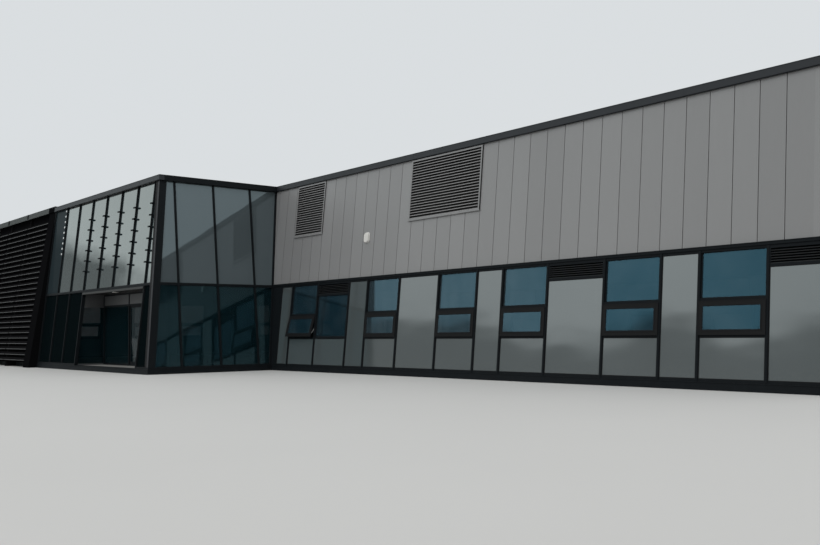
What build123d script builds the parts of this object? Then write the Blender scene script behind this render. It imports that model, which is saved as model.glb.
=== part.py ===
from build123d import *
import math
import os

# School building with leaning walls, as a scale model at 1:2 in millimetres.
# X runs along the long front to the right, Y runs into the building, Z is up.
# The origin is on the ground at the middle of the building's footprint.
# A length written here is half of the real one.

# Plan
WING_LENGTH = 12516
HALL_LENGTH = 6600
SCREENED_LENGTH = 5236
WING_DEPTH = 6480
HALL_PROJECTION = 2790
UPPER_FLOOR_OVERHANG = 760

# Every outer wall leans in by this much for each unit of height
WALL_LEAN = 0.105
SCREEN_LEAN = 0.158

# Levels above the ground
PLINTH_TOP = 105
SILL_LEVEL = 673
VENT_LEVEL = 713
TRANSOM_LEVEL = 1130
LIGHT_LEVEL = 1177
STRIP_BAR_LEVEL = 1537
STRIP_LEVEL = 1560
HEAD_LEVEL = 1775
FRAME_TOP = 1810
CLADDING_LEVEL = 1854
HALL_TRANSOM_LEVEL = 1814
ROOF_LEVEL = 3800
FASCIA_LEVEL = 3949
COPING_LEVEL = 4050
ROOF_EDGE_TOP = 4068

# Wall make-up, measured inwards from the outer face of cladding and frames
CLADDING_THICKNESS = 30
WALL_THICKNESS = 150
FRAME_DEPTH = 75
FRAME_RAIL = 35
GLASS_THICKNESS = 18
GLASS_SETBACK = 27
SPANDREL_THICKNESS = 30
SPANDREL_SETBACK = 10
PLINTH_PROUD = 10
SLAB_THICKNESS = 150
ROOF_THICKNESS = 100
METAL_JOINT = 3

# Ground floor bays, from one mullion centre to the next
MULLION = 40
JUNCTION_POST = 165
FIRST_BAY = 430
WINDOW_BAY = 960
NARROW_BAY = 598
WIDE_BAY = 1086

# Opening sash of a window
SASH_MEMBER = 62
SASH_LAP = 12
SASH_DEPTH = 22
OPEN_SASH_ANGLE = 10

# Louvre strip under the head of a bay
STRIP_RAIL = 12
STRIP_SLATS = 6
STRIP_SLAT_THICKNESS = 6
STRIP_SLAT_RUN = 46
STRIP_SLAT_SETBACK = 4
STRIP_SLAT_RISE = 0.9

# Cladding panels
PANEL_PITCH = 360
PANEL_JOINT = 10
FIRST_PANEL_JOINT = 95

# Louvre panels high on the long front
LARGE_LOUVRE_START = 4350
LARGE_LOUVRE_LENGTH = 1860
LARGE_LOUVRE_LEVEL = 2815
SMALL_LOUVRE_START = 508
SMALL_LOUVRE_LENGTH = 1040
SMALL_LOUVRE_LEVEL = 2833
LOUVRE_TOP = 3935
LOUVRE_FLANGE = 28
LOUVRE_PROUD = 18
LOUVRE_PITCH = 50
LOUVRE_DEPTH = 120
LOUVRE_BACK = 10
LOUVRE_BLADE_CHORD = 54
LOUVRE_BLADE_SETBACK = 4
BLADE_THICKNESS = 6
BLADE_TILT = 45

# Alarm bell box
BELL_POSITION = 3115
BELL_LEVEL = 2510
BELL_WIDTH = 150
BELL_HEIGHT = 205
BELL_DEPTH = 55

# Fascia and band
FASCIA_PROUD = 35
BAND_PROUD = 12

# Glazed hall
HALL_FIRST_BAY = 645
HALL_BAY = 850
HALL_SIDE_LAST_BAY = 275
HALL_SIDE_BAY = 887
HALL_TRANSOM = 48
HALL_MULLION = 34
HALL_CORNER_FACE = 150
PORCH_DEPTH = 690
PORCH_LINTEL = 46
PORCH_LINTEL_LEVEL = 1728
PORCH_WALL = 50
DOOR_BAY_SHARE = 0.43
DOOR_HEIGHT = 1330
DOOR_DEPTH = 30
DOOR_STILE = 45
DOOR_GAP = 2
DOOR_GLASS = 12
DOOR_PULL_LEVEL = 480
DOOR_PULL_LENGTH = 320
DOOR_PULL = 14
DOOR_PULL_REACH = 38
HINGES = 3
HINGE_LENGTH = 60
HINGE_INSET = 90
SIDE_PANEL = 20
LINTEL_PROUD = 12
LIGHT_RADIUS = 70
LIGHT_DROP = 12
LIGHT_FROM_FRONT = 100
BRACKET_TOP_LEVEL = 3488
BRACKET_PITCH = 244
BRACKET_LENGTH = 140
BRACKET_HEIGHT = 14
BRACKET_REACH = 60
BRACKET_ROWS = 6
BRACKETED_MULLIONS = 5

# Louvre screen on the left
SCREEN_FOOT_STANDOFF = 209
SCREEN_WALL_SETBACK = 110
SCREEN_POST = 60
SCREEN_FIRST_POST = 419
SCREEN_POST_SPACING = 1690
SCREEN_END_PANEL = 440
SCREEN_END_PLATE = 30
SCREEN_BLADE_PITCH = 141
SCREEN_BLADE_CHORD = 80
SCREEN_BLADE_THICKNESS = 14
SCREEN_TOP_BLADE_LEVEL = 3766
SCREEN_FASCIA_LEVEL = 3960
SCREEN_FASCIA_TOP = 4100
SCREEN_HEAD_DROP = 120
SCREEN_HEAD_PROUD = 12

# Places worked out from the plan
LEFT = -(WING_LENGTH + HALL_LENGTH + SCREENED_LENGTH) / 2
RIGHT = -LEFT
JUNCTION = RIGHT - WING_LENGTH
HALL_LEFT = JUNCTION - HALL_LENGTH
UPPER_START = JUNCTION - UPPER_FLOOR_OVERHANG
SCREEN_FOOT = -(SCREEN_FOOT_STANDOFF + HALL_PROJECTION + WING_DEPTH + PLINTH_PROUD) / 2
HALL_FRONT = SCREEN_FOOT + SCREEN_FOOT_STANDOFF
WING_FRONT = HALL_FRONT + HALL_PROJECTION
BACK = WING_FRONT + WING_DEPTH
WALL_INSIDE = -(CLADDING_THICKNESS + WALL_THICKNESS)


class Wall:
    """One outer wall: its axis, the foot of its outer face, the way it faces and its lean."""

    def __init__(self, axis, foot, facing, lean=WALL_LEAN):
        self.axis = axis
        self.foot = foot
        self.facing = facing
        self.lean = lean

    def at(self, height, out=0):
        """Place of the plane that stands this far out of the face, at a height."""
        return self.foot + self.facing * (out - height * self.lean)

    def point(self, along, height, out):
        """Point of the wall from its place along the foot line."""
        across = self.at(height, out)
        if self.axis == "y":
            return (along, across, height)
        return (across, along, height)


def limit_at(limit, height, out):
    """End of a piece: a plumb place, a mitre with another wall, or a line beside that wall."""
    if isinstance(limit, Wall):
        return limit.at(height, out)
    if isinstance(limit, tuple):
        wall, inset = limit
        return wall.at(height, -inset)
    return limit


def moved(limit, along):
    """The same end of a piece, moved along the wall."""
    if isinstance(limit, tuple):
        wall, inset = limit
        return (wall, inset - wall.facing * along)
    return limit + along


def solid_between(first, second):
    """Solid between two matching outlines whose sides are all flat."""
    faces = [Face(Wire.make_polygon(first)), Face(Wire.make_polygon(second))]
    for i in range(len(first)):
        j = (i + 1) % len(first)
        faces.append(Face(Wire.make_polygon([first[i], first[j], second[j], second[i]])))
    solid = Solid(Shell(faces))
    if solid.volume < 0:
        solid = Solid(Shell([-face for face in faces]))
    return solid


def bar(wall, start, end, profile, joint=0):
    """Bar along a wall, from a profile of points (out, height)."""
    sides = []
    for limit, shift in ((start, joint / 2), (end, -joint / 2)):
        if not isinstance(limit, Wall):
            shift = 0
        side = [wall.point(limit_at(limit, height, out) + shift, height, out) for out, height in profile]
        sides.append(side)
    return solid_between(*sides)


def block(wall, start, end, low, high, inner, outer, joint=0):
    """Leaning slab of a wall between two levels."""
    profile = [(inner, low), (outer, low), (outer, high), (inner, high)]
    return bar(wall, start, end, profile, joint)


def deck(outline, low, high):
    """Level slab whose outline is given as a function of the height."""
    first = [(x, y, low) for x, y in outline(low)]
    second = [(x, y, high) for x, y in outline(high)]
    return solid_between(first, second)


def corner(first, second, low, high, first_face, second_face):
    """Leaning post on the corner of two walls, with the width of its face on each wall."""

    def outline(height):
        places = [(0, 0), (-second_face, 0), (-second_face, -first_face), (0, -first_face)]
        return [(first.at(height, a), second.at(height, b)) for a, b in places]

    return deck(outline, low, high)


def cut(solid, tools):
    """Solid with openings cut through it."""
    return (Part(solid.wrapped) - tools).solids()[0]


wing_front = Wall("y", WING_FRONT, -1)
hall_front = Wall("y", HALL_FRONT, -1)
hall_side = Wall("x", JUNCTION, 1)
right_end = Wall("x", RIGHT, 1)
left_end = Wall("x", LEFT, -1, 0)
back = Wall("y", BACK, 1)
screened_front = Wall("y", HALL_FRONT + SCREEN_WALL_SETBACK, -1)
screen = Wall("y", SCREEN_FOOT, -1, SCREEN_LEAN)
porch = Wall("y", HALL_FRONT + PORCH_DEPTH, -1, 0)
cross_wall = Wall("x", UPPER_START, -1, 0)

nodes = {}


def add(name, *solids):
    """Put solids in a named node."""
    nodes.setdefault(name, []).extend(solids)


def pane(wall, start, end, low, high):
    """Sheet of glass that fills an opening of a frame."""
    return block(wall, start, end, low, high, -GLASS_SETBACK - GLASS_THICKNESS, -GLASS_SETBACK)


def spandrel(wall, start, end, low, high):
    """Glossy panel that fills an opening of a frame."""
    return block(wall, start, end, low, high, -SPANDREL_SETBACK - SPANDREL_THICKNESS, -SPANDREL_SETBACK)


def sash(wall, start, end, low, high):
    """Sash that laps over the opening of a vent, and its glass."""
    outer = block(wall, start - SASH_LAP, end + SASH_LAP, low - SASH_LAP, high + SASH_LAP, 0, SASH_DEPTH)
    glass_start = start - SASH_LAP + SASH_MEMBER
    glass_end = end + SASH_LAP - SASH_MEMBER
    glass_low = low - SASH_LAP + SASH_MEMBER
    glass_high = high + SASH_LAP - SASH_MEMBER
    hole = block(wall, glass_start, glass_end, glass_low, glass_high, -SASH_DEPTH, 2 * SASH_DEPTH)
    glass = block(wall, glass_start, glass_end, glass_low, glass_high, 0, GLASS_THICKNESS)
    return cut(outer, [hole]), glass


def strip_louvre(wall, start, end, low, high):
    """Louvre strip under the head of a bay: slanted slats in one frame."""
    frame = block(wall, start, end, low, high, -FRAME_DEPTH, 0)
    left, right = moved(start, STRIP_RAIL), moved(end, -STRIP_RAIL)
    hole = block(wall, left, right, low + STRIP_RAIL, high - STRIP_RAIL, -2 * FRAME_DEPTH, FRAME_DEPTH)
    slats = []
    pitch = (high - low - 2 * STRIP_RAIL) / STRIP_SLATS
    front = -STRIP_SLAT_SETBACK
    rear = front - STRIP_SLAT_RUN
    for i in range(STRIP_SLATS):
        foot = low + STRIP_RAIL + i * pitch
        head = foot + pitch * STRIP_SLAT_RISE
        profile = [
            (front - STRIP_SLAT_THICKNESS, foot),
            (front, foot),
            (rear, head),
            (rear - STRIP_SLAT_THICKNESS, head),
        ]
        slats.append(bar(wall, left, right, profile))
    return (Part(cut(frame, [hole]).wrapped) + slats).solids()[0]


def bay_limits(edges, i):
    """Clear sides of a bay between mullions: a plumb mullion takes half its width from each side."""
    left, right = edges[i], edges[i + 1]
    if not isinstance(left, tuple):
        left = moved(left, MULLION / 2)
    if not isinstance(right, tuple):
        right = moved(right, -MULLION / 2)
    return left, right


def glazed_storey(name, frame_name, wall, edges, kinds, start=None, open_bay=None):
    """Ground floor of a wall: one frame of mullions and rails, with its panels, windows and louvres."""
    start = edges[0] if start is None else start
    low = PLINTH_TOP + FRAME_RAIL
    rows = {
        "panel": [("panel", low, HEAD_LEVEL)],
        "louvred panel": [("panel", low, STRIP_BAR_LEVEL), ("strip", STRIP_LEVEL, HEAD_LEVEL)],
        "tall window": [
            ("panel", low, SILL_LEVEL),
            ("glass", VENT_LEVEL, STRIP_BAR_LEVEL),
            ("strip", STRIP_LEVEL, HEAD_LEVEL),
        ],
        "window": [
            ("panel", low, SILL_LEVEL),
            ("vent", VENT_LEVEL, TRANSOM_LEVEL),
            ("glass", LIGHT_LEVEL, HEAD_LEVEL),
        ],
    }
    tools = []
    for i, kind in enumerate(kinds):
        left, right = bay_limits(edges, i)
        for fill, bottom, top in rows[kind]:
            tools.append(block(wall, left, right, bottom, top, -2 * FRAME_DEPTH, FRAME_DEPTH))
            if fill == "glass":
                add(name + "_glass", pane(wall, left, right, bottom, top))
            elif fill == "panel":
                add(name + "_panels", spandrel(wall, left, right, bottom, top))
            elif fill == "strip":
                add("strip_louvres", strip_louvre(wall, left, right, bottom, top))
            else:
                ring, glass = sash(wall, left, right, bottom, top)
                if open_bay == i:
                    hinge = Axis(wall.point(left, top + SASH_LAP, 0), (1, 0, 0))
                    ring = ring.rotate(hinge, -OPEN_SASH_ANGLE)
                    glass = glass.rotate(hinge, -OPEN_SASH_ANGLE)
                add(name + "_sashes", ring)
                add(name + "_glass", glass)
    frame = block(wall, start, edges[-1], PLINTH_TOP, FRAME_TOP, -FRAME_DEPTH, 0)
    add(frame_name, cut(frame, tools))


def fitting_bays(pattern, room):
    """As many bays of a repeated pattern of kinds and widths as the room takes."""
    bays = []
    used = 0
    while used + pattern[len(bays) % len(pattern)][1] <= room:
        bay = pattern[len(bays) % len(pattern)]
        bays.append(bay)
        used += bay[1]
    return bays


def mullions_between(start, widths):
    """Mullion places from a first place and the widths of the bays."""
    places = [start]
    for width in widths:
        places.append(places[-1] + width)
    return places


def cladding(name, wall, start, end, first, last, low, gaps=()):
    """Row of upright cladding panels: one sheet, parted by open joints and by the gaps for louvres."""
    sheet = block(wall, start, end, low, COPING_LEVEL, -CLADDING_THICKNESS, 0, METAL_JOINT)
    tools = list(gaps)
    bottom, top = low - PANEL_JOINT, COPING_LEVEL + PANEL_JOINT
    place = first
    while place < last:
        left, right = place - PANEL_JOINT / 2, place + PANEL_JOINT / 2
        tools.append(block(wall, left, right, bottom, top, -2 * CLADDING_THICKNESS, CLADDING_THICKNESS))
        place += PANEL_PITCH
    add(name, *(Part(sheet.wrapped) - tools).solids())


def louvre_bank(wall, start, end, low, high):
    """Wall louvre: a flanged tray with slanted blades across it, as one piece."""
    inner = -LOUVRE_DEPTH
    body = block(wall, start, end, low, high, inner, LOUVRE_PROUD)
    hole = block(
        wall,
        start + LOUVRE_FLANGE,
        end - LOUVRE_FLANGE,
        low + LOUVRE_FLANGE,
        high - LOUVRE_FLANGE,
        inner + LOUVRE_BACK,
        2 * LOUVRE_PROUD,
    )
    blades = []
    clear = high - low - 2 * LOUVRE_FLANGE
    count = round(clear / LOUVRE_PITCH)
    pitch = clear / count
    rise = LOUVRE_BLADE_CHORD * math.sin(math.radians(BLADE_TILT))
    run = LOUVRE_BLADE_CHORD * math.cos(math.radians(BLADE_TILT))
    front = LOUVRE_PROUD - LOUVRE_BLADE_SETBACK
    for i in range(count):
        foot = low + LOUVRE_FLANGE + i * pitch + (pitch - rise - BLADE_THICKNESS) / 2
        profile = [
            (front, foot),
            (front, foot + BLADE_THICKNESS),
            (front - run, foot + BLADE_THICKNESS + rise),
            (front - run, foot + rise),
        ]
        blades.append(bar(wall, start + LOUVRE_FLANGE, end - LOUVRE_FLANGE, profile))
    return (Part(cut(body, [hole]).wrapped) + blades).solids()[0]


# Ground floor slabs and plinths
def base_outline(left, right, front):
    """Outline of a slab inside the outer walls, as a function of the height."""

    def outline(height):
        return [
            (limit_at(left, height, 0), front.at(height, WALL_INSIDE)),
            (limit_at(right, height, 0), front.at(height, WALL_INSIDE)),
            (limit_at(right, height, 0), back.at(height, WALL_INSIDE)),
            (limit_at(left, height, 0), back.at(height, WALL_INSIDE)),
        ]

    return outline


def hall_floor_outline(height):
    """Outline of the floor of the hall and of the screened part beside it."""
    west = left_end.at(height, WALL_INSIDE)
    east = hall_side.at(height, WALL_INSIDE)
    north = back.at(height, WALL_INSIDE)
    step = screened_front.at(height, WALL_INSIDE)
    south = hall_front.at(height, WALL_INSIDE)
    return [(west, step), (HALL_LEFT, step), (HALL_LEFT, south), (east, south), (east, north), (west, north)]


def plinth(wall, start, end):
    """Plinth along the foot of a wall."""
    return block(wall, start, end, 0, PLINTH_TOP, WALL_INSIDE, PLINTH_PROUD, METAL_JOINT)


inset = -WALL_INSIDE
add("hall_floor", deck(hall_floor_outline, 0, PLINTH_TOP))
add("wing_floor", deck(base_outline((hall_side, inset), (right_end, inset), wing_front), 0, PLINTH_TOP))
add("front_plinth", plinth(hall_front, HALL_LEFT, hall_side), plinth(hall_side, hall_front, wing_front))
add("front_plinth", plinth(wing_front, hall_side, right_end))
add("front_plinth", block(
    screened_front, left_end, HALL_LEFT - METAL_JOINT, 0, PLINTH_TOP, WALL_INSIDE, 0, METAL_JOINT
))
add("rear_plinth", plinth(right_end, wing_front, back), plinth(back, left_end, right_end))
add("rear_plinth", plinth(left_end, screened_front, back))

# Ground floor of the long front
window = ("window", WINDOW_BAY)
narrow_panel = ("panel", NARROW_BAY)
wide_panel = ("panel", WIDE_BAY)
louvred_panel = ("louvred panel", WIDE_BAY)
front_pattern = [
    window,
    ("tall window", WIDE_BAY),
    narrow_panel,
    window,
    wide_panel,
    window,
    narrow_panel,
    window,
    louvred_panel,
    window,
    narrow_panel,
    window,
]
first_mullion = JUNCTION + JUNCTION_POST
last_place = right_end.at(FRAME_TOP) - NARROW_BAY / 2
front_bays = fitting_bays(front_pattern, last_place - first_mullion - FIRST_BAY)
front_mullions = mullions_between(first_mullion, [FIRST_BAY] + [width for kind, width in front_bays])
glazed_storey(
    "wing_front",
    "wing_front_frame",
    wing_front,
    front_mullions + [(right_end, FRAME_DEPTH)],
    ["panel"] + [kind for kind, width in front_bays] + ["louvred panel"],
    start=(hall_side, FRAME_DEPTH),
    open_bay=1,
)
for first, second in ((right_end, wing_front), (right_end, back), (left_end, back)):
    add("corner_posts", corner(first, second, PLINTH_TOP, FRAME_TOP, FRAME_DEPTH, FRAME_DEPTH))

# Ground floor of the unseen walls
hidden_pattern = [window, narrow_panel, window, wide_panel]
for name, wall, start, end in (
    ("end_frames", right_end, (wing_front, FRAME_DEPTH), (back, FRAME_DEPTH)),
    ("back_frame", back, (left_end, FRAME_DEPTH), (right_end, FRAME_DEPTH)),
    ("end_frames", left_end, (screened_front, inset), (back, FRAME_DEPTH)),
):
    first = limit_at(start, FRAME_TOP, 0) + NARROW_BAY / 2
    last = limit_at(end, FRAME_TOP, 0) - NARROW_BAY / 2
    bays = fitting_bays(hidden_pattern, last - first)
    widths = [width for kind, width in bays]
    places = mullions_between((first + last - sum(widths)) / 2, widths)
    kinds = ["panel"] + [kind for kind, width in bays] + ["panel"]
    glazed_storey("rear", name, wall, [start] + places + [end], kinds)

# Louvre panels and bell box, high on the long front
louvre_holes = []
for start, length, level in (
    (JUNCTION + LARGE_LOUVRE_START, LARGE_LOUVRE_LENGTH, LARGE_LOUVRE_LEVEL),
    (JUNCTION + SMALL_LOUVRE_START, SMALL_LOUVRE_LENGTH, SMALL_LOUVRE_LEVEL),
):
    end = start + length
    louvre_holes.append(block(wing_front, start, end, level, LOUVRE_TOP, 2 * WALL_INSIDE, FRAME_DEPTH))
    add("plant_louvres", louvre_bank(wing_front, start, end, level, LOUVRE_TOP))
bell_place = JUNCTION + BELL_POSITION - BELL_WIDTH / 2
add("bell_box", block(
    wing_front, bell_place, bell_place + BELL_WIDTH, BELL_LEVEL, BELL_LEVEL + BELL_HEIGHT, 0, BELL_DEPTH
))

# Upper walls, floor and roofs
front_wall = block(
    wing_front, UPPER_START, right_end, FRAME_TOP, COPING_LEVEL, WALL_INSIDE, -CLADDING_THICKNESS
)
add("wing_front_wall", cut(front_wall, louvre_holes))
for name, wall, start, end in (
    ("end_walls", right_end, wing_front, back),
    ("back_wall", back, left_end, right_end),
    ("end_walls", left_end, screened_front, back),
):
    add(name, block(wall, start, end, FRAME_TOP, COPING_LEVEL, WALL_INSIDE, -CLADDING_THICKNESS))
add("upper_cross_wall", block(
    cross_wall,
    (wing_front, inset),
    (back, inset),
    FRAME_TOP + SLAB_THICKNESS,
    ROOF_LEVEL,
    -WALL_THICKNESS,
    0,
))
upper_outline = base_outline(UPPER_START, (right_end, inset), wing_front)
add("upper_floor", deck(upper_outline, FRAME_TOP, FRAME_TOP + SLAB_THICKNESS))
add("wing_roof", deck(upper_outline, ROOF_LEVEL, ROOF_LEVEL + ROOF_THICKNESS))


def hall_roof_outline(height):
    """Outline of the hall roof, which steps round the end of the upper front wall."""
    east = hall_side.at(height, -FRAME_DEPTH)
    south = hall_front.at(height, -FRAME_DEPTH)
    step = wing_front.at(height, -CLADDING_THICKNESS)
    north = back.at(height, WALL_INSIDE)
    west = left_end.at(height, WALL_INSIDE)
    screened = screened_front.at(height, WALL_INSIDE)
    return [
        (west, screened),
        (HALL_LEFT, screened),
        (HALL_LEFT, south),
        (east, south),
        (east, step),
        (UPPER_START, step),
        (UPPER_START, north),
        (west, north),
    ]


add("hall_roof", deck(hall_roof_outline, ROOF_LEVEL, ROOF_LEVEL + ROOF_THICKNESS))
add("screened_wall", block(
    screened_front, (left_end, inset), HALL_LEFT, PLINTH_TOP, COPING_LEVEL, WALL_INSIDE, 0
))

# Cladding, band and fascias
cladding(
    "front_cladding",
    wing_front,
    (hall_side, FRAME_DEPTH),
    right_end,
    JUNCTION + FIRST_PANEL_JOINT - PANEL_PITCH,
    right_end.at(COPING_LEVEL) - PANEL_PITCH / 2,
    CLADDING_LEVEL,
    louvre_holes,
)
for wall, start, end in (
    (right_end, wing_front, back),
    (back, left_end, right_end),
    (left_end, screened_front, back),
):
    first = limit_at(start, COPING_LEVEL, 0) + PANEL_PITCH
    last = limit_at(end, COPING_LEVEL, 0) - PANEL_PITCH / 2
    cladding("rear_cladding", wall, start, end, first, last, CLADDING_LEVEL)
for wall, start, end in (
    (wing_front, (hall_side, 0), right_end),
    (right_end, wing_front, back),
    (back, left_end, right_end),
    (left_end, screened_front, back),
):
    add("band_flashing", block(
        wall, start, end, FRAME_TOP, CLADDING_LEVEL, -CLADDING_THICKNESS, BAND_PROUD, METAL_JOINT
    ))


def fascia(wall, start, end, inner):
    """Fascia with its coping turned back over the top of the wall."""
    profile = [
        (0, FASCIA_LEVEL),
        (FASCIA_PROUD, FASCIA_LEVEL),
        (FASCIA_PROUD, ROOF_EDGE_TOP),
        (inner, ROOF_EDGE_TOP),
        (inner, COPING_LEVEL),
        (0, COPING_LEVEL),
    ]
    return bar(wall, start, end, profile, METAL_JOINT)


add("front_fascia", fascia(wing_front, hall_side, right_end, WALL_INSIDE))
add("rear_fascia", fascia(right_end, wing_front, back, WALL_INSIDE))
add("rear_fascia", fascia(back, left_end, right_end, WALL_INSIDE))
add("rear_fascia", fascia(left_end, (screened_front, inset), back, WALL_INSIDE))
add("front_fascia", fascia(hall_front, HALL_LEFT, hall_side, -FRAME_DEPTH))
add("front_fascia", fascia(hall_side, hall_front, wing_front, -FRAME_DEPTH))

# Glazed hall
add("corner_posts", corner(hall_side, hall_front, PLINTH_TOP, COPING_LEVEL, HALL_CORNER_FACE, FRAME_DEPTH))
half = HALL_MULLION / 2
rail_top = PLINTH_TOP + FRAME_RAIL


def glazed_wall(name, wall, mullions, start, end, first, last, porch_bays=()):
    """Two storeys of glass between mullions, whose frames meet level with the head of the porch."""
    edges = [first] + mullions + [last]
    tools = []
    for i, (left, right) in enumerate(zip(edges, edges[1:])):
        left_edge = left if left is first else left + half
        right_edge = right if right is last else right - half
        if i not in porch_bays:
            top = HALL_TRANSOM_LEVEL - HALL_TRANSOM / 2
            tools.append(block(wall, left_edge, right_edge, rail_top, top, -2 * FRAME_DEPTH, FRAME_DEPTH))
            add("hall_lower_glass", pane(wall, left_edge, right_edge, rail_top, top))
        bottom = HALL_TRANSOM_LEVEL + HALL_TRANSOM / 2
        tools.append(block(wall, left_edge, right_edge, bottom, FASCIA_LEVEL, -2 * FRAME_DEPTH, FRAME_DEPTH))
        add("hall_upper_glass", pane(wall, left_edge, right_edge, bottom, FASCIA_LEVEL))
    if porch_bays:
        left_edge = edges[porch_bays[0]] + half
        right_edge = edges[porch_bays[-1] + 1] - half
        tools.append(block(wall, left_edge, right_edge, 0, PORCH_LINTEL_LEVEL, -2 * FRAME_DEPTH, FRAME_DEPTH))
    for foot, head in ((PLINTH_TOP, PORCH_LINTEL_LEVEL), (PORCH_LINTEL_LEVEL, COPING_LEVEL)):
        frame = block(wall, start, end, foot, head, -FRAME_DEPTH, 0)
        add(name + "_frame", *(Part(frame.wrapped) - tools).solids())


hall_mullions = [JUNCTION - HALL_FIRST_BAY - HALL_BAY * i for i in range(6, -1, -1)]
side_mullions = [WING_FRONT - HALL_SIDE_LAST_BAY - HALL_SIDE_BAY * i for i in (2, 1, 0)]
glazed_wall(
    "hall_front",
    hall_front,
    hall_mullions,
    HALL_LEFT,
    (hall_side, FRAME_DEPTH),
    HALL_LEFT + HALL_MULLION,
    (hall_side, FRAME_DEPTH),
    porch_bays=(3, 4, 5, 6),
)
glazed_wall(
    "hall_side",
    hall_side,
    side_mullions,
    (hall_front, HALL_CORNER_FACE),
    (wing_front, 0),
    (hall_front, HALL_CORNER_FACE),
    (wing_front, -HALL_MULLION),
)

# Brackets on the front mullions of the hall
for place in hall_mullions[-BRACKETED_MULLIONS:]:
    for i in range(BRACKET_ROWS):
        level = BRACKET_TOP_LEVEL - i * BRACKET_PITCH
        add("mullion_brackets", block(
            hall_front,
            place - BRACKET_LENGTH / 2,
            place + BRACKET_LENGTH / 2,
            level,
            level + BRACKET_HEIGHT,
            0,
            BRACKET_REACH,
        ))

# Louvre screen
blade_rise = SCREEN_BLADE_CHORD * math.sin(math.radians(BLADE_TILT))
blade_run = SCREEN_BLADE_CHORD * math.cos(math.radians(BLADE_TILT))


def screen_post(place):
    """Post of the louvre screen: it fills the wedge between the wall and the blades."""

    def outline(height):
        near = screened_front.at(height)
        far = screen.at(height, -blade_run)
        left = place - SCREEN_POST / 2
        return [(left, far), (left + SCREEN_POST, far), (left + SCREEN_POST, near), (left, near)]

    return deck(outline, 0, COPING_LEVEL)


def screen_end_outline(height):
    """Panel at the end of the screen, folded back to the wall beside the glass hall."""
    near = screened_front.at(height)
    far = screen.at(height)
    rear = screen.at(height, -SCREEN_END_PLATE)
    left = HALL_LEFT - SCREEN_END_PANEL
    fold = HALL_LEFT - SCREEN_END_PLATE
    return [(left, far), (HALL_LEFT, far), (HALL_LEFT, near), (fold, near), (fold, rear), (left, rear)]


add("screen_end_panel", deck(screen_end_outline, 0, COPING_LEVEL))
board_face = SCREEN_WALL_SETBACK + FASCIA_PROUD
post_places = [LEFT + SCREEN_POST / 2]
place = HALL_LEFT - SCREEN_FIRST_POST
while place > LEFT + 2 * SCREEN_POST:
    post_places.append(place)
    place -= SCREEN_POST_SPACING
for place in post_places:
    add("screen_posts", screen_post(place))
    if place + SCREEN_POST < HALL_LEFT - SCREEN_END_PANEL:
        add("screen_posts", block(
            screened_front,
            place - SCREEN_POST / 2,
            place + SCREEN_POST / 2,
            SCREEN_FASCIA_TOP - SCREEN_HEAD_DROP,
            SCREEN_FASCIA_TOP,
            board_face,
            board_face + SCREEN_HEAD_PROUD,
        ))
blade_count = int((SCREEN_TOP_BLADE_LEVEL - PLINTH_TOP) / SCREEN_BLADE_PITCH) + 1
for i in range(blade_count):
    top = SCREEN_TOP_BLADE_LEVEL - i * SCREEN_BLADE_PITCH
    profile = [
        (-blade_run, top),
        (0, top - blade_rise),
        (0, top - blade_rise - SCREEN_BLADE_THICKNESS),
        (-blade_run, top - SCREEN_BLADE_THICKNESS),
    ]
    add("screen_blades", bar(screen, LEFT, HALL_LEFT - SCREEN_END_PANEL, profile))
board_profile = [
    (board_face - CLADDING_THICKNESS, SCREEN_FASCIA_LEVEL),
    (board_face, SCREEN_FASCIA_LEVEL),
    (board_face, SCREEN_FASCIA_TOP),
    (WALL_INSIDE, SCREEN_FASCIA_TOP),
    (WALL_INSIDE, COPING_LEVEL),
    (board_face - CLADDING_THICKNESS, COPING_LEVEL),
]
board_end = HALL_LEFT - SCREEN_END_PANEL
add("screen_fascia", bar(screened_front, LEFT - FASCIA_PROUD, board_end, board_profile))
add("screen_end_panel", bar(screened_front, board_end + METAL_JOINT, HALL_LEFT, board_profile))

# Entrance porch
porch_left = hall_mullions[-BRACKETED_MULLIONS] + half
porch_right = hall_mullions[-1] - half
ceiling = PORCH_LINTEL_LEVEL
door_head = PLINTH_TOP + DOOR_HEIGHT
header_low = door_head + MULLION
header_high = ceiling - FRAME_RAIL


def porch_side(left, right, bottom, top):
    """Part of a side wall of the porch, from the glass front back to the doors."""

    def outline(height):
        front = hall_front.at(height, -FRAME_DEPTH)
        return [(left, front), (right, front), (right, porch.foot), (left, porch.foot)]

    return deck(outline, bottom, top)


def soffit_outline(height):
    """Outline of the porch ceiling, which rests on its side walls and its glazed screen."""
    left, right = porch_left - PORCH_WALL, porch_right + PORCH_WALL
    front = hall_front.at(height, -FRAME_DEPTH)
    rear = porch.foot + FRAME_DEPTH
    return [(left, front), (right, front), (right, rear), (left, rear)]


for left, right in ((porch_left - PORCH_WALL, porch_left), (porch_right, porch_right + PORCH_WALL)):
    panel_left = (left + right - SIDE_PANEL) / 2
    panel_right = panel_left + SIDE_PANEL
    add("porch_side_walls", porch_side(left, right, PLINTH_TOP, rail_top))
    add("porch_glass", porch_side(panel_left, panel_right, rail_top, door_head))
    add("porch_side_walls", porch_side(left, right, door_head, header_low))
    add("porch_header", porch_side(panel_left, panel_right, header_low, header_high))
    add("porch_side_walls", porch_side(left, right, header_high, ceiling))
add("porch_soffit", deck(soffit_outline, ceiling, ceiling + PORCH_LINTEL))
add("porch_lintel", block(
    hall_front, porch_left, porch_right, ceiling, ceiling + PORCH_LINTEL, 0, LINTEL_PROUD
))

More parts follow.
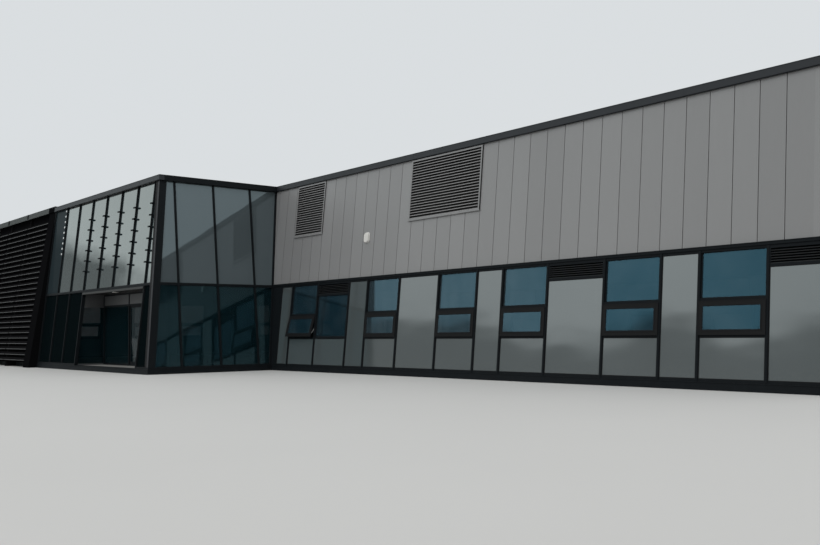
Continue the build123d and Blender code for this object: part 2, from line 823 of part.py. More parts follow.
door_bay = (porch_right - porch_left) * DOOR_BAY_SHARE
porch_edges = [porch_left, porch_left + door_bay, porch_left + 2 * door_bay, porch_right]
tools = []
for i, (left_edge, right_edge) in enumerate(zip(porch_edges, porch_edges[1:])):
    left = left_edge + MULLION / 2
    right = right_edge - MULLION / 2
    tools.append(block(porch, left, right, header_low, header_high, -2 * FRAME_DEPTH, FRAME_DEPTH))
    add("porch_header", spandrel(porch, left, right, header_low, header_high))
    if i == 1:
        door_left, door_right = left, right
        tools.append(block(porch, left, right, 0, door_head, -2 * FRAME_DEPTH, FRAME_DEPTH))
    else:
        tools.append(block(porch, left, right, rail_top, door_head, -2 * FRAME_DEPTH, FRAME_DEPTH))
        add("porch_glass", pane(porch, left, right, rail_top, door_head))
porch_frame = block(
    porch, porch_left - PORCH_WALL, porch_right + PORCH_WALL, PLINTH_TOP, ceiling, -FRAME_DEPTH, 0
)
add("porch_frame", cut(porch_frame, tools))
middle = (door_left + door_right) / 2


def door_leaf(left, right, jamb, pull_place):
    """Glazed door leaf: stiles and rails round one sheet of glass, with hinges and a pull bar."""
    bottom = PLINTH_TOP + DOOR_GAP
    top = door_head - DOOR_GAP
    inner = -(FRAME_DEPTH + DOOR_DEPTH) / 2
    face = inner + DOOR_DEPTH
    leaf = block(porch, left, right, bottom, top, inner, face)
    glass_sides = (left + DOOR_STILE, right - DOOR_STILE, bottom + 2 * DOOR_STILE, top - DOOR_STILE)
    hole = block(porch, *glass_sides, 2 * inner, FRAME_DEPTH)
    middle_out = inner + DOOR_DEPTH / 2
    glass = block(porch, *glass_sides, middle_out - DOOR_GLASS / 2, middle_out + DOOR_GLASS / 2)
    pull_sides = (pull_place - DOOR_PULL / 2, pull_place + DOOR_PULL / 2)
    pull_low = bottom + DOOR_PULL_LEVEL
    pull_high = pull_low + DOOR_PULL_LENGTH
    reach = face + DOOR_PULL_REACH
    pull = [block(porch, *pull_sides, pull_low, pull_high, reach - DOOR_PULL, reach)]
    for level in (pull_low, pull_high - DOOR_PULL):
        pull.append(block(porch, *pull_sides, level, level + DOOR_PULL, face, reach - DOOR_PULL))
    hinge_sides = sorted((jamb, left if jamb < left else right))
    hinges = []
    spacing = (top - bottom - 2 * HINGE_INSET - HINGE_LENGTH) / (HINGES - 1)
    for i in range(HINGES):
        level = bottom + HINGE_INSET + i * spacing
        hinges.append(block(porch, *hinge_sides, level, level + HINGE_LENGTH, inner, face))
    return (Part(cut(leaf, [hole]).wrapped) + pull + hinges).solids()[0], glass


stile_middle = DOOR_STILE / 2
for left, right, jamb, pull_place in (
    (door_left + DOOR_GAP, middle - DOOR_GAP, door_left, middle - DOOR_GAP - stile_middle),
    (middle + DOOR_GAP, door_right - DOOR_GAP, door_right, middle + DOOR_GAP + stile_middle),
):
    leaf, glass = door_leaf(left, right, jamb, pull_place)
    add("entrance_doors", leaf)
    add("porch_glass", glass)
light = Cylinder(LIGHT_RADIUS, LIGHT_DROP, align=(Align.CENTER, Align.CENTER, Align.MAX))
light_place = hall_front.point((porch_left + porch_right) / 2, ceiling, -LIGHT_FROM_FRONT)
add("porch_light", Pos(light_place) * light)

os.makedirs("parts", exist_ok=True)
for name, solids in nodes.items():
    shape = solids[0] if len(solids) == 1 else Compound(children=solids)
    export_step(shape, "parts/" + name + ".step")
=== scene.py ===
import math

import bpy
from bpy.props import FloatProperty, FloatVectorProperty, IntProperty, PointerProperty
from mathutils import Matrix, Vector


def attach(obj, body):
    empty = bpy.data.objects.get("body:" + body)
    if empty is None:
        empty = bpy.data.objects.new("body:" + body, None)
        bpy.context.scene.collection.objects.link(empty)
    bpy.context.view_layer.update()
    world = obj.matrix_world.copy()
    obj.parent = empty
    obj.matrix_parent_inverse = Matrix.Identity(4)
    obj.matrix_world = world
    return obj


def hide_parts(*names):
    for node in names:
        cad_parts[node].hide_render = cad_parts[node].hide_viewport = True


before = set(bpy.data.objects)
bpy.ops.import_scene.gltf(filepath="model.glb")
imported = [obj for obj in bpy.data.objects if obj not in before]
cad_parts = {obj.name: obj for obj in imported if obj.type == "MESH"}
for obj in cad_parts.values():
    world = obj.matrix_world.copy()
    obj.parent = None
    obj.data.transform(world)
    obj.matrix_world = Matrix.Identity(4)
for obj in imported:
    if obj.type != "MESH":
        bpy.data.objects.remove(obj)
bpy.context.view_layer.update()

bl_info = {
    "name": "Leaning School Building",
    "version": (1, 0, 0),
    "blender": (4, 5, 0),
    "location": "View3D > Sidebar > School",
    "description": "Finishes, trim and studio for a school building with leaning walls",
    "category": "Object",
}

# Settings


def length(name, description, default):
    """Property for a length in metres."""
    return FloatProperty(name=name, description=description, default=default, unit="LENGTH")


def number(name, description, default):
    """Property for a plain number."""
    return FloatProperty(name=name, description=description, default=default)


def angle(name, description, degrees):
    """Property for an angle."""
    turn = math.radians(degrees)
    return FloatProperty(name=name, description=description, default=turn, subtype="ANGLE")


def colour(name, description, default):
    """Property for a linear colour."""
    return FloatVectorProperty(
        name=name, description=description, default=default, subtype="COLOR", size=3, min=0, max=1
    )


class SCHOOL_Walls(bpy.types.PropertyGroup):
    """Places and levels of the walls, in the frame of the model."""

    wing_front: length("Long front", "Y of the foot of the long front", -1.7455)
    hall_front: length("Hall front", "Y of the foot of the glazed hall's front", -4.5355)
    first_mullion: length("First mullion", "X of the first mullion of the glazed hall", -6.085)
    junction: length("Junction", "X of the foot of the hall's side wall", -0.34)
    right_end: length("Right end", "X of the foot of the right end wall", 12.176)
    back: length("Back", "Y of the foot of the back wall", 4.7345)
    left_end: length("Left end", "X of the left end wall", -12.176)
    screen_foot: length("Screen", "Y of the foot of the louvre screen", -4.7445)
    screen_lean: number("Screen lean", "Inward lean of the screen for each unit of height", 0.158)
    sash_hinge: length("Sash hinge", "Level of the hinge line of the open sash", 1.142)
    sash_angle: angle("Sash angle", "Swing of the open sash", 10)
    lean: number("Lean", "Inward lean of the walls for each unit of height", 0.105)
    panel_pitch: length("Panel pitch", "Width of one cladding panel with its joint", 0.36)
    first_joint: length("First joint", "First cladding joint from the junction", 0.095)


class SCHOOL_Finishes(bpy.types.PropertyGroup):
    """Colours of the finishes."""

    cladding: colour("Cladding", "Pale grey coated panels", (0.252, 0.252, 0.253))
    dark_metal: colour("Dark metal", "Anthracite frames, band and fascia", (0.0064, 0.0082, 0.0098))
    # Painted sheen: the fascia faces take this lighter copy of the dark metal.
    roof_edge: colour("Roof edge", "Face of the fascias", (0.0120, 0.0135, 0.0170))
    sash: colour("Sash", "Members of the opening sashes", (0.0105, 0.0110, 0.0115))
    gloss_panel: colour("Gloss panel", "Back-painted glass panels", (0.068, 0.081, 0.083))
    window_glass: colour("Window glass", "Body of the blue tinted window glass", (0.006, 0.018, 0.026))
    # Pale tone of the panes: partly blinds behind them, partly painted light.
    pale_pane: colour("Pale room", "Tone of the panes with pale rooms behind", (0.045, 0.064, 0.074))
    hall_upper_glass: colour("Upper hall glass", "Glass of the hall's upper storey", (0.068, 0.086, 0.093))
    hall_lower_glass: colour("Lower hall glass", "Glass of the hall's lower storey", (0.004, 0.014, 0.018))
    louvre: colour("Louvre", "Wall louvres", (0.034, 0.034, 0.034))
    grey_metal: colour("Grey metal", "Fascia of the louvre screen", (0.060, 0.067, 0.066))
    louvre_frame: colour("Louvre frame", "Frames round the wall louvres", (0.230, 0.230, 0.230))
    # One porch metal in two copies: the header and side walls, in the porch's shade, take a lighter copy
    # as painted light, and the lintel and ceiling a darker copy as painted shade.
    lining: colour("Porch lining", "Side walls and header of the porch", (0.075, 0.078, 0.080))
    lintel: colour("Lintel", "Lintel and ceiling of the porch", (0.020, 0.020, 0.019))
    # Painted highlight: the rolled edges of the louvre blades and slats are paler than the blades.
    blade_edge: colour("Blade edge", "Front edges of the louvre blades", (0.310, 0.306, 0.307))
    slat_edge_highlight: colour("Slat edge", "Front edges of the slats under the band", (0.016, 0.017, 0.018))
    stud: colour("Stud", "Bright clips beside the louvre screen", (0.720, 0.730, 0.730))
    corner_strip: colour("Corner strip", "Pale strip beside the hall's corner post", (0.026, 0.027, 0.031))
    rubber: colour("Rubber", "Glazing gaskets", (0.008, 0.008, 0.009))
    wall_core: colour("Wall core", "Dark sheathing behind the cladding joints", (0.020, 0.020, 0.021))
    black_screen: colour("Black screen", "Blades and posts of the louvre screen", (0.0085, 0.0085, 0.0092))
    # Painted shade: darker than the screen's own black metal, so the gaps between the blades and the end
    # panel read as deep shade.
    screen_back: colour("Screen back", "Wall and end panel of the louvre screen", (0.0048, 0.0050, 0.0056))
    # Painted highlight: the front edges of the screen blades are paler than the blades.
    screen_edge_highlight: colour("Screen edge", "Front edges of the screen blades", (0.052, 0.052, 0.053))
    render_coat: colour("Render", "Inner wall faces", (0.300, 0.300, 0.290))
    concrete: colour("Concrete", "Floors", (0.220, 0.215, 0.205))
    roof_sheet: colour("Roof sheet", "Single ply roof covering", (0.200, 0.205, 0.210))
    plastic: colour("Plastic", "Bell box and lamp", (0.620, 0.620, 0.600))


class SCHOOL_Trim(bpy.types.PropertyGroup):
    """Sizes of the trim that is added to the model."""

    gasket_width: length("Gasket width", "Face width of a glazing gasket", 0.009)
    gasket_depth: length("Gasket depth", "How far a gasket stands off its panel", 0.006)
    hall_gasket: length("Hall gasket", "Face width of the gaskets of the hall", 0.005)
    cap_width: length("Cap width", "Width of a mullion cap", 0.040)
    cap_depth: length("Cap depth", "How far a mullion cap stands out", 0.008)
    cap_rib: length("Cap rib", "Height of the rib on a mullion cap", 0.004)
    cap_rim: length("Cap rim", "Flat rim beside the rib of a mullion cap", 0.010)
    cap_low: length("Cap foot", "Level of the foot of the mullion caps", 0.107)
    cap_high: length("Cap head", "Level of the head of the mullion caps", 1.808)
    sash_member: length("Sash member", "Face width of an opening sash", 0.062)
    bead_width: length("Bead width", "Face width of the beads on a sash", 0.010)
    bead_depth: length("Bead depth", "Height of the beads on a sash", 0.004)
    flange_width: length("Flange width", "Face width of a louvre frame", 0.030)
    flange_depth: length("Flange depth", "Height of a louvre frame", 0.004)
    blade_edge: length("Blade edge", "Height of the rolled edge of a louvre blade", 0.011)
    slat_edge: length("Slat edge", "Height of the rolled edge of a slat", 0.008)
    edge_depth: length("Edge depth", "Depth of the rolled edges", 0.003)
    lip_height: length("Lip height", "Height of the lips of fascias and plinths", 0.010)
    lip_depth: length("Lip depth", "How far a lip stands out", 0.005)
    first_strap: length("First strap", "Place of one joint strap along the front", 9.770)
    strap_pitch: length("Strap pitch", "Distance between joint straps", 2.880)
    strap_width: length("Strap width", "Width of a joint strap", 0.070)
    strap_depth: length("Strap depth", "How far a joint strap stands out", 0.002)
    hall_cap_width: length("Hall cap width", "Width of the caps of the hall", 0.026)
    hall_cap_depth: length("Hall cap depth", "How far the caps of the hall stand out", 0.0015)
    hall_cap_rib: length("Hall cap rib", "Height of the rib on the caps of the hall", 0.001)
    corner_bar_depth: length("Corner bar depth", "How far the bar beside the corner stands out", 0.006)
    bracket_length: length("Bracket length", "Length of a bracket on the mullions", 0.086)
    bracket_height: length("Bracket height", "Height of a bracket on the mullions", 0.030)
    bracket_reach: length("Bracket reach", "How far a bracket on the mullions stands out", 0.042)
    corner_bar_place: length("Corner bar", "Distance of the slim bar from the last pane's edge", 0.078)
    corner_bar_width: length("Corner bar width", "Width of the slim bar", 0.084)
    corner_strip_width: length("Corner strip width", "Width of the pale strip beside the slim bar", 0.070)
    studs: IntProperty(name="Studs", description="Number of bright clips", default=9)
    stud_pitch: length("Stud pitch", "Distance between the bright clips", 0.135)
    stud_drop: length("Stud drop", "Distance of the first bright clip from the head of the glass", 0.035)
    stud_gap: length("Stud gap", "Distance of the bright clips from the middle of the mullion", 0.040)
    stud_width: length("Stud width", "Width of a bright clip", 0.095)
    stud_height: length("Stud height", "Height of a bright clip", 0.044)
    stud_depth: length("Stud depth", "How far a bright clip stands out", 0.010)
    clip_width: length("Clip width", "Width of a blade clip", 0.050)
    clip_depth: length("Clip depth", "How far a blade clip stands out", 0.004)
    bell_corner: length("Bell corner", "Cut corner of the bell cover", 0.036)
    stay_inset: length("Stay inset", "Distance of a stay from the edge of the open sash", 0.030)
    stay_rise: length("Stay rise", "Rise of a stay towards the frame", 0.160)
    stay_radius: length("Stay radius", "Radius of a stay", 0.005)
    sill_drop: length("Sill drop", "How far a louvre sill hangs below its frame", 0.012)
    sill_lap: length("Sill lap", "How far a louvre sill laps over its frame", 0.010)


class SCHOOL_Studio(bpy.types.PropertyGroup):
    """Camera, lights, floor and background."""

    floor: colour("Floor", "Colour of the studio floor", (0.55, 0.55, 0.54))
    background: colour("Background", "Colour behind the model", (0.70, 0.73, 0.75))
    mirrored_sky: colour("Mirrored sky", "Colour of the sky in reflections", (0.67, 0.74, 0.75))
    horizon: number("Horizon", "Reflected brightness at the horizon", 0.34)
    sky_level: number("Sky level", "Reflected brightness overhead", 1.32)
    sky_strength: number("Sky", "Strength of the even light", 0.80)
    sun_strength: number("Sun", "Strength of the soft key light", 0.90)
    lens: number("Lens", "Focal length in millimetres", 40.648)
    camera_place: FloatVectorProperty(
        name="Camera", description="Place of the camera", default=(16.983, -12.227, 0.768), unit="LENGTH"
    )
    camera_yaw: angle("Yaw", "Turn of the camera to the left", 50.254)
    camera_pitch: angle("Pitch", "Upward tilt of the camera", 3.734)
    camera_roll: angle("Roll", "Roll of the camera", -0.600)


# Shader maths


class Value:
    """A number in a node tree, so that shader maths reads as plain maths."""

    def __init__(self, shader, socket):
        self.shader = shader
        self.socket = socket

    def maths(self, operation, *others):
        inputs = {i: other for i, other in enumerate((self, *others))}
        return self.shader.value("ShaderNodeMath", {"operation": operation}, inputs)

    def __add__(self, other):
        return self.maths("ADD", other)

    __radd__ = __add__

    def __sub__(self, other):
        return self.maths("SUBTRACT", other)

    def __rsub__(self, other):
        return (self * -1) + other

    def __mul__(self, other):
        return self.maths("MULTIPLY", other)

    __rmul__ = __mul__

    def __truediv__(self, other):
        return self.maths("DIVIDE", other)

    def floor(self):
        return self.maths("FLOOR")

    def fraction(self):
        return self.maths("FRACT")

    def below(self, other):
        return self.maths("LESS_THAN", other)

    def above(self, other):
        return self.maths("GREATER_THAN", other)

    def size(self):
        return self.maths("ABSOLUTE")

    def ramp(self, low, high, start=0.0, end=1.0):
        """The start below low, the end above high and even between them."""
        inputs = {"Value": self, "From Min": low, "From Max": high, "To Min": start, "To Max": end}
        return self.shader.value("ShaderNodeMapRange", {"clamp": True}, inputs)


class Shader:
    """Node tree of a material, on the piece's own coordinates, or of the world, on its directions."""

    def __init__(self, name, world=False):
        self.owner = (bpy.data.worlds if world else bpy.data.materials).new(name)
        self.owner.use_nodes = True
        self.tree = self.owner.node_tree
        self.tree.nodes.clear()
        self.place = self.node("ShaderNodeTexCoord", {}, {}).outputs["Generated" if world else "Object"]
        parts = self.node("ShaderNodeSeparateXYZ", {}, {"Vector": self.place})
        self.x, self.y, self.z = (Value(self, parts.outputs[axis]) for axis in "XYZ")

    def node(self, kind, settings, inputs):
        """New node: its settings first, then the values or links of its sockets."""
        made = self.tree.nodes.new(kind)
        for name, setting in settings.items():
            setattr(made, name, setting)
        for name, given in inputs.items():
            socket = made.inputs[name]
            if isinstance(given, Value):
                given = given.socket
            if isinstance(given, bpy.types.NodeSocket):
                self.tree.links.new(given, socket)
            else:
                socket.default_value = given
        return made

    def value(self, kind, settings, inputs):
        return Value(self, self.node(kind, settings, inputs).outputs[0])

    def point(self, x, y, z):
        """Vector from three numbers or links."""
        return self.node("ShaderNodeCombineXYZ", {}, {"X": x, "Y": y, "Z": z}).outputs[0]

    def scaled(self, x, y, z):
        """The piece's coordinates, stretched along each axis."""
        inputs = {"Vector": self.place, "Scale": (x, y, z)}
        return self.node("ShaderNodeMapping", {}, inputs).outputs[0]

    def noise(self, scale, detail=3, roughness=0.5, vector=None):
        inputs = {"Vector": vector or self.place, "Scale": scale, "Detail": detail, "Roughness": roughness}
        return Value(self, self.node("ShaderNodeTexNoise", {}, inputs).outputs["Fac"])

    def chance(self, vector):
        """Random number from 0 to 1 that is the same wherever the vector is."""
        made = self.node("ShaderNodeTexWhiteNoise", {"noise_dimensions": "3D"}, {"Vector": vector})
        return Value(self, made.outputs["Value"])

    def specks(self, scale):
        """Distance to the nearest of many scattered points."""
        inputs = {"Vector": self.place, "Scale": scale}
        return Value(self, self.node("ShaderNodeTexVoronoi", {}, inputs).outputs["Distance"])

    def mix(self, factor, first, second):
        """Blend of two colours."""
        inputs = {0: factor, 6: opaque(first), 7: opaque(second)}
        return self.node("ShaderNodeMix", {"data_type": "RGBA"}, inputs).outputs[2]

    def shaded(self, base, factor):
        """Colour made darker or lighter by a number."""
        grey = self.node("ShaderNodeCombineColor", {}, {0: factor, 1: factor, 2: factor}).outputs[0]
        settings = {"data_type": "RGBA", "blend_type": "MULTIPLY"}
        return self.node("ShaderNodeMix", settings, {0: 1.0, 6: opaque(base), 7: grey}).outputs[2]

    def bump(self, height, distance, strength=1.0):
        inputs = {"Height": height, "Distance": distance, "Strength": strength}
        return self.node("ShaderNodeBump", {}, inputs).outputs[0]

    def principled(self, **sockets):
        """Principled surface with these values in its sockets."""
        inputs = {name.replace("_", " "): opaque(given) for name, given in sockets.items()}
        return self.node("ShaderNodeBsdfPrincipled", {}, inputs).outputs[0]

    def blend(self, factor, first, second):
        """Blend of two surfaces."""
        return self.node("ShaderNodeMixShader", {}, {0: factor, 1: first, 2: second}).outputs[0]

    def output(self, surface):
        """Finished material with this surface."""
        self.node("ShaderNodeOutputMaterial", {}, {"Surface": surface})
        return self.owner

    def surface(self, **sockets):
        """Finished material with a principled surface."""
        return self.output(self.principled(**sockets))


def opaque(given):
    """Colour with its alpha, or anything else as it is."""
    if hasattr(given, "__len__") and len(given) == 3:
        return (*given, 1)
    return given


# Finishes


def cladding_finish(name, tint, walls):
    """Coated panels: each has a slightly different tone, faint drawn lines and rain marks, with painted
    shade along the foot of the cladding and painted shade growing towards the right end.
    """
    shader = Shader(name)
    panel = ((shader.x - (walls.junction + walls.first_joint)) / walls.panel_pitch).floor()
    shade = shader.chance(shader.point(panel, 3.0, 7.0))
    streaks = shader.noise(1.0, 4, 0.6, shader.scaled(60, 60, 0.6))
    cloud = shader.noise(0.35, 3, 0.55)
    rain = shader.noise(1.0, 3, 0.6, shader.scaled(14, 14, 0.25)) * shader.z.ramp(2.4, 3.95)
    tone = 0.955 + shade * 0.07 + (streaks - 0.5) * 0.05 + (cloud - 0.5) * 0.10 - rain * 0.05
    # Painted shade: darker along the foot of the cladding above the band, and steadily darker towards the
    # right end.
    foot = 1 - shader.z.ramp(1.85, 2.05)
    tone = tone - foot * 0.03 - shader.x.ramp(4.0, 12.0) * 0.12
    grain = shader.noise(420, 2, 0.5)
    ripple = shader.noise(1.0, 2, 0.5, shader.scaled(5, 5, 1.1))
    height = grain * 0.00012 + ripple * 0.0016
    return shader.surface(
        Base_Color=shader.shaded(tint, tone),
        Metallic=0.25,
        Roughness=0.40 + streaks * 0.10 + cloud * 0.06,
        Normal=shader.bump(height, 1.0, 0.55),
    )


def coat_texture(shader):
    """Cloud of tone, scuffs and orange peel of a powder coat."""
    cloud = shader.noise(1.6, 4, 0.6)
    scuffs = shader.noise(1.0, 3, 0.6, shader.scaled(3, 3, 28))
    return cloud, scuffs, shader.bump(shader.noise(260, 2, 0.5) * 0.0002, 1.0, 0.5)


def coated_metal(name, tint, roughness, metallic, wear, reflection=0.5):
    """Powder coated metal: orange peel, dust that gathers most towards the ground and faint handling
    marks.
    """
    shader = Shader(name)
    cloud, scuffs, peel = coat_texture(shader)
    dust = shader.noise(9.0, 5, 0.65).ramp(0.50, 0.80)
    low = 1 - shader.z.ramp(0.02, 0.55)
    dirt = (dust * (0.30 + low * 0.70)) * (0.35 * wear)
    pale = tuple(min(1.0, channel * 1.8 + 0.012) for channel in tint)
    return shader.surface(
        Base_Color=shader.mix(dirt, shader.shaded(tint, 0.90 + cloud * 0.20), pale),
        Metallic=metallic,
        Roughness=roughness + scuffs * 0.10 + dirt * 0.5,
        Specular_IOR_Level=reflection,
        Normal=peel,
    )


def roof_edge_finish(name, tint, dark, walls):
    """Coated fascia with a faint sheen, in two copies of one coat: a lighter, glossier copy on the faces
    as painted sheen, and a darker, duller copy as painted shade on the side of the hall, which faces away
    from the sky.
    """
    shader = Shader(name)
    # Mask of the side of the hall, where the fascia gets the darker copy as painted shade.
    inner, outer = walls.junction - 0.5, walls.junction + 0.06
    start, end = walls.hall_front + 0.5, walls.wing_front + 0.6
    across = shader.x + shader.z * walls.lean
    side = across.above(inner) * across.below(outer) * shader.y.above(start) * shader.y.below(end)
    cloud, scuffs, peel = coat_texture(shader)

    def coat(shade, roughness, reflection):
        return shader.principled(
            Base_Color=shader.shaded(shade, 0.90 + cloud * 0.20),
            Roughness=roughness + scuffs * 0.10,
            Specular_IOR_Level=reflection,
            Normal=peel,
        )

    # Painted sheen on the fascia faces, painted shade on the side of the hall.
    return shader.output(shader.blend(side, coat(tint, 0.42, 0.35), coat(dark, 0.50, 0.08)))


def gloss_panel_finish(name, tint):
    """Back-painted glass: deep gloss with a slight roller wave and dust near the ground."""
    shader = Shader(name)
    wave = shader.noise(1.0, 1, 0.4, shader.scaled(0.9, 0.9, 2.2))
    cloud = shader.noise(0.8, 3, 0.5)
    splash = shader.noise(36, 5, 0.7).ramp(0.40, 0.80) * (1 - shader.z.ramp(0.12, 0.42))
    base = shader.mix(splash * 0.14, shader.shaded(tint, 0.95 + cloud * 0.10), (0.16, 0.155, 0.14))
    return shader.surface(
        Base_Color=base,
        Roughness=0.05 + cloud * 0.04 + splash * 0.10,
        IOR=2.25,
        Normal=shader.bump(wave * 0.010, 1.0, 0.35),
    )


def glass_surface(shader, tint, reflection, ior, clearness, dust_top, level=0.5):
    """Surface of coated glass: a tinted reflection, a slight wave, and dust near the foot."""
    wave = shader.noise(1.0, 1, 0.4, shader.scaled(1.3, 1.3, 2.0))
    smear = shader.noise(3.0, 4, 0.6)
    dust = shader.noise(30, 5, 0.7).ramp(0.5, 0.8) * (1 - shader.z.ramp(0.1, dust_top))
    return shader.principled(
        Base_Color=shader.mix(dust * 0.3, tint, (0.12, 0.12, 0.11)),
        Roughness=0.02 + smear * 0.03 + dust * 0.2,
        Alpha=(1 - clearness) + smear * 0.05 + dust * 0.2,
        IOR=ior,
        Specular_Tint=reflection,
        Specular_IOR_Level=level,
        Normal=shader.bump(wave * 0.008, 1.0, 0.3),
    )


def porch_finish(name, tint):
    """Clear glass of the porch."""
    shader = Shader(name)
    return shader.output(glass_surface(shader, tint, (0.6, 0.9, 1.0), 1.45, 0.55, 0.5))


def window_finish(name, tint, pale):
    """Blue coated glass, paler between x 2.7 and 8.6 and in soft patches: partly hanging blinds behind the
    panes and partly painted light, with the panes at the left kept dark as a painted reflection of the
    hall.
    """
    shader = Shader(name)
    # Painted light mixed with real blinds: the panes between x 2.7 and 8.6 are paler, and those at the
    # left stay dark as a painted reflection of the hall.
    blinds_and_painted_light = shader.x.ramp(2.7, 3.1) * (1 - shader.x.ramp(7.4, 8.6))
    folds = shader.noise(1.0, 2, 0.5, shader.scaled(8, 8, 0.2)).ramp(0.38, 0.68)
    cloud = shader.noise(1.3, 4, 0.6).ramp(0.42, 0.72)
    shade = shader.mix(blinds_and_painted_light * (0.40 + folds * 0.30) + cloud * 0.45, tint, pale)
    return shader.output(glass_surface(shader, shade, (0.30, 0.74, 1.0), 1.95, 0.25, 0.5))


def on_hall_front(shader, walls):
    """Mask that is 1 on the front of the hall and 0 on its side."""
    reach = 0.1
    return (shader.y - shader.z * walls.lean).below(walls.hall_front + reach)


def hall_upper_finish(name, tint, walls):
    """Glass of the hall's upper storey: the front gets a strongly mirroring copy of the glass as painted
    reflection, and the bay by the screen a dark, barely mirroring copy as painted shade.
    """
    shader = Shader(name)
    # Copies of the one glass: painted reflection on the front, painted shade in the bay by the screen.
    front_tint, dim_tint = (0.014, 0.023, 0.026), (0.019, 0.028, 0.032)
    side = glass_surface(shader, tint, (0.80, 0.93, 1.0), 1.82, 0.06, 0.5)
    front = glass_surface(shader, front_tint, (0.97, 0.99, 0.96), 3.4, 0.06, 0.5)
    dim = glass_surface(shader, dim_tint, (0.8, 0.95, 1.0), 1.10, 0.0, 0.5, 0.1)
    front = shader.blend(shader.x.below(walls.first_mullion), front, dim)
    return shader.output(shader.blend(on_hall_front(shader, walls), side, front))


def hall_lower_finish(name, tint, walls):
    """Glass of the hall's lower storey: the front gets a darker copy that mirrors much less than the side,
    as painted shade.
    """
    shader = Shader(name)
    # Painted shade: the front's copy of the glass is darker and barely mirrors.
    front_tint = (0.0025, 0.0050, 0.0058)
    side = glass_surface(shader, tint, (0.50, 0.88, 1.0), 1.78, 0.34, 0.5)
    front = glass_surface(shader, front_tint, (0.8, 0.95, 1.0), 1.06, 0.06, 0.2, 0.02)
    return shader.output(shader.blend(on_hall_front(shader, walls), side, front))


def mineral_finish(name, tint, scale, depth, roughness):
    """Concrete or render: fine grain, clouds of tone and small pits."""
    shader = Shader(name)
    cloud = shader.noise(1.1, 5, 0.6)
    grain = shader.noise(scale, 4, 0.7)
    pits = shader.specks(scale * 0.6).ramp(0.0, 0.25)
    tone = 0.80 + cloud * 0.25 + grain * 0.12
    return shader.surface(
        Base_Color=shader.shaded(tint, tone),
        Roughness=roughness + grain * 0.08,
        Normal=shader.bump(grain * depth + pits * depth, 1.0, 0.6),
    )


def roof_finish(name, tint):
    """Single ply sheet: welded laps, puddle marks and chalky tone."""
    shader = Shader(name)
    sheet = shader.x / 1.0
    lap = (sheet.fraction() - 0.5).size().ramp(0.485, 0.495)
    end_lap = ((shader.y / 4.0 + sheet.floor() * 0.37).fraction() - 0.5).size().ramp(0.496, 0.499)
    shade = shader.chance(shader.point(sheet.floor(), 1.0, 4.0))
    puddle = shader.noise(0.9, 5, 0.6).ramp(0.46, 0.60)
    fine = shader.noise(40, 4, 0.6)
    tone = 0.88 + shade * 0.08 + fine * 0.10 - puddle * 0.10 - lap * 0.12 - end_lap * 0.10
    return shader.surface(
        Base_Color=shader.shaded(tint, tone),
        Roughness=0.62 + fine * 0.12,
        Normal=shader.bump(lap * 0.003 + end_lap * 0.003 + fine * 0.0006, 1.0, 0.8),
    )


def plastic_finish(name, tint):
    """Moulded plastic: fine texture and a little yellowing."""
    shader = Shader(name)
    cloud = shader.noise(6, 3, 0.5)
    fine = shader.noise(500, 2, 0.5)
    return shader.surface(
        Base_Color=shader.mix(cloud * 0.3, tint, (0.55, 0.53, 0.46)),
        Roughness=0.36 + cloud * 0.1,
        Normal=shader.bump(fine * 0.00008, 1.0, 0.5),
    )


NODE_FINISHES = {
    "cladding": ("front_cladding",),
    "rear_cladding": ("rear_cladding",),
    "roof_edge": ("front_fascia", "rear_fascia"),
    "sash": ("wing_front_sashes", "rear_sashes"),
    "gloss_panel": ("wing_front_panels", "rear_panels"),
    "window_glass": ("wing_front_glass", "rear_glass"),
    "hall_upper_glass": ("hall_upper_glass",),
    "hall_lower_glass": ("hall_lower_glass",),
    "porch_glass": ("porch_glass",),
    "louvre": ("plant_louvres",),
    "grey_metal": ("screen_fascia",),
    # Painted light and shade: the porch's one metal is split into a lighter and a darker copy.
    "lining": ("porch_header", "porch_side_walls"),
    "lintel": ("porch_lintel", "porch_soffit"),
    "black_screen": ("screen_blades", "screen_posts"),
    # Near-black backing, darker than the blades as painted shade.
    "screen_back": ("screen_end_panel", "screened_wall"),
    "wall_core": ("wing_front_wall", "end_walls", "back_wall"),
    "render_coat": ("upper_cross_wall",),
    "concrete": ("hall_floor", "wing_floor", "upper_floor"),
    "roof_sheet": ("hall_roof", "wing_roof"),
    "plastic": ("bell_box", "porch_light"),
}


# Coated metals: name of the material, roughness, metallic, wear and reflection
METALS = {
    "dark_metal": ("anthracite metal", 0.50, 0.0, 0.6, 0.08),
    "sash": ("sash metal", 0.50, 0.0, 0.6, 0.08),
    "louvre": ("louvre metal", 0.42, 0.3, 0.6),
    "grey_metal": ("grey metal", 0.55, 0.0, 0.6, 0.1),
    "lining": ("porch lining metal", 0.40, 0.2, 0.6),
    "lintel": ("porch lintel metal", 0.42, 0.0, 0.6, 0.3),
    "louvre_frame": ("louvre frame metal", 0.42, 0.3, 0.6),
    "corner_strip": ("corner strip metal", 0.45, 0.0, 0.6, 0.2),
    "rubber": ("black rubber", 0.62, 0.0, 0.8, 0.15),
    "wall_core": ("dark sheathing", 0.70, 0.0, 0.8),
    "black_screen": ("black screen metal", 0.55, 0.0, 0.3, 0.0),
    "screen_back": ("black backing metal", 0.55, 0.0, 0.15, 0.0),
    "screen_edge_highlight": ("screen edge highlight", 0.45, 0.0, 0.5, 0.2),
    "blade_edge": ("louvre edge highlight", 0.40, 0.2, 0.5),
    "slat_edge_highlight": ("slat edge highlight", 0.45, 0.0, 0.5, 0.3),
    "stud": ("bright stud metal", 0.30, 0.4, 0.4),
}


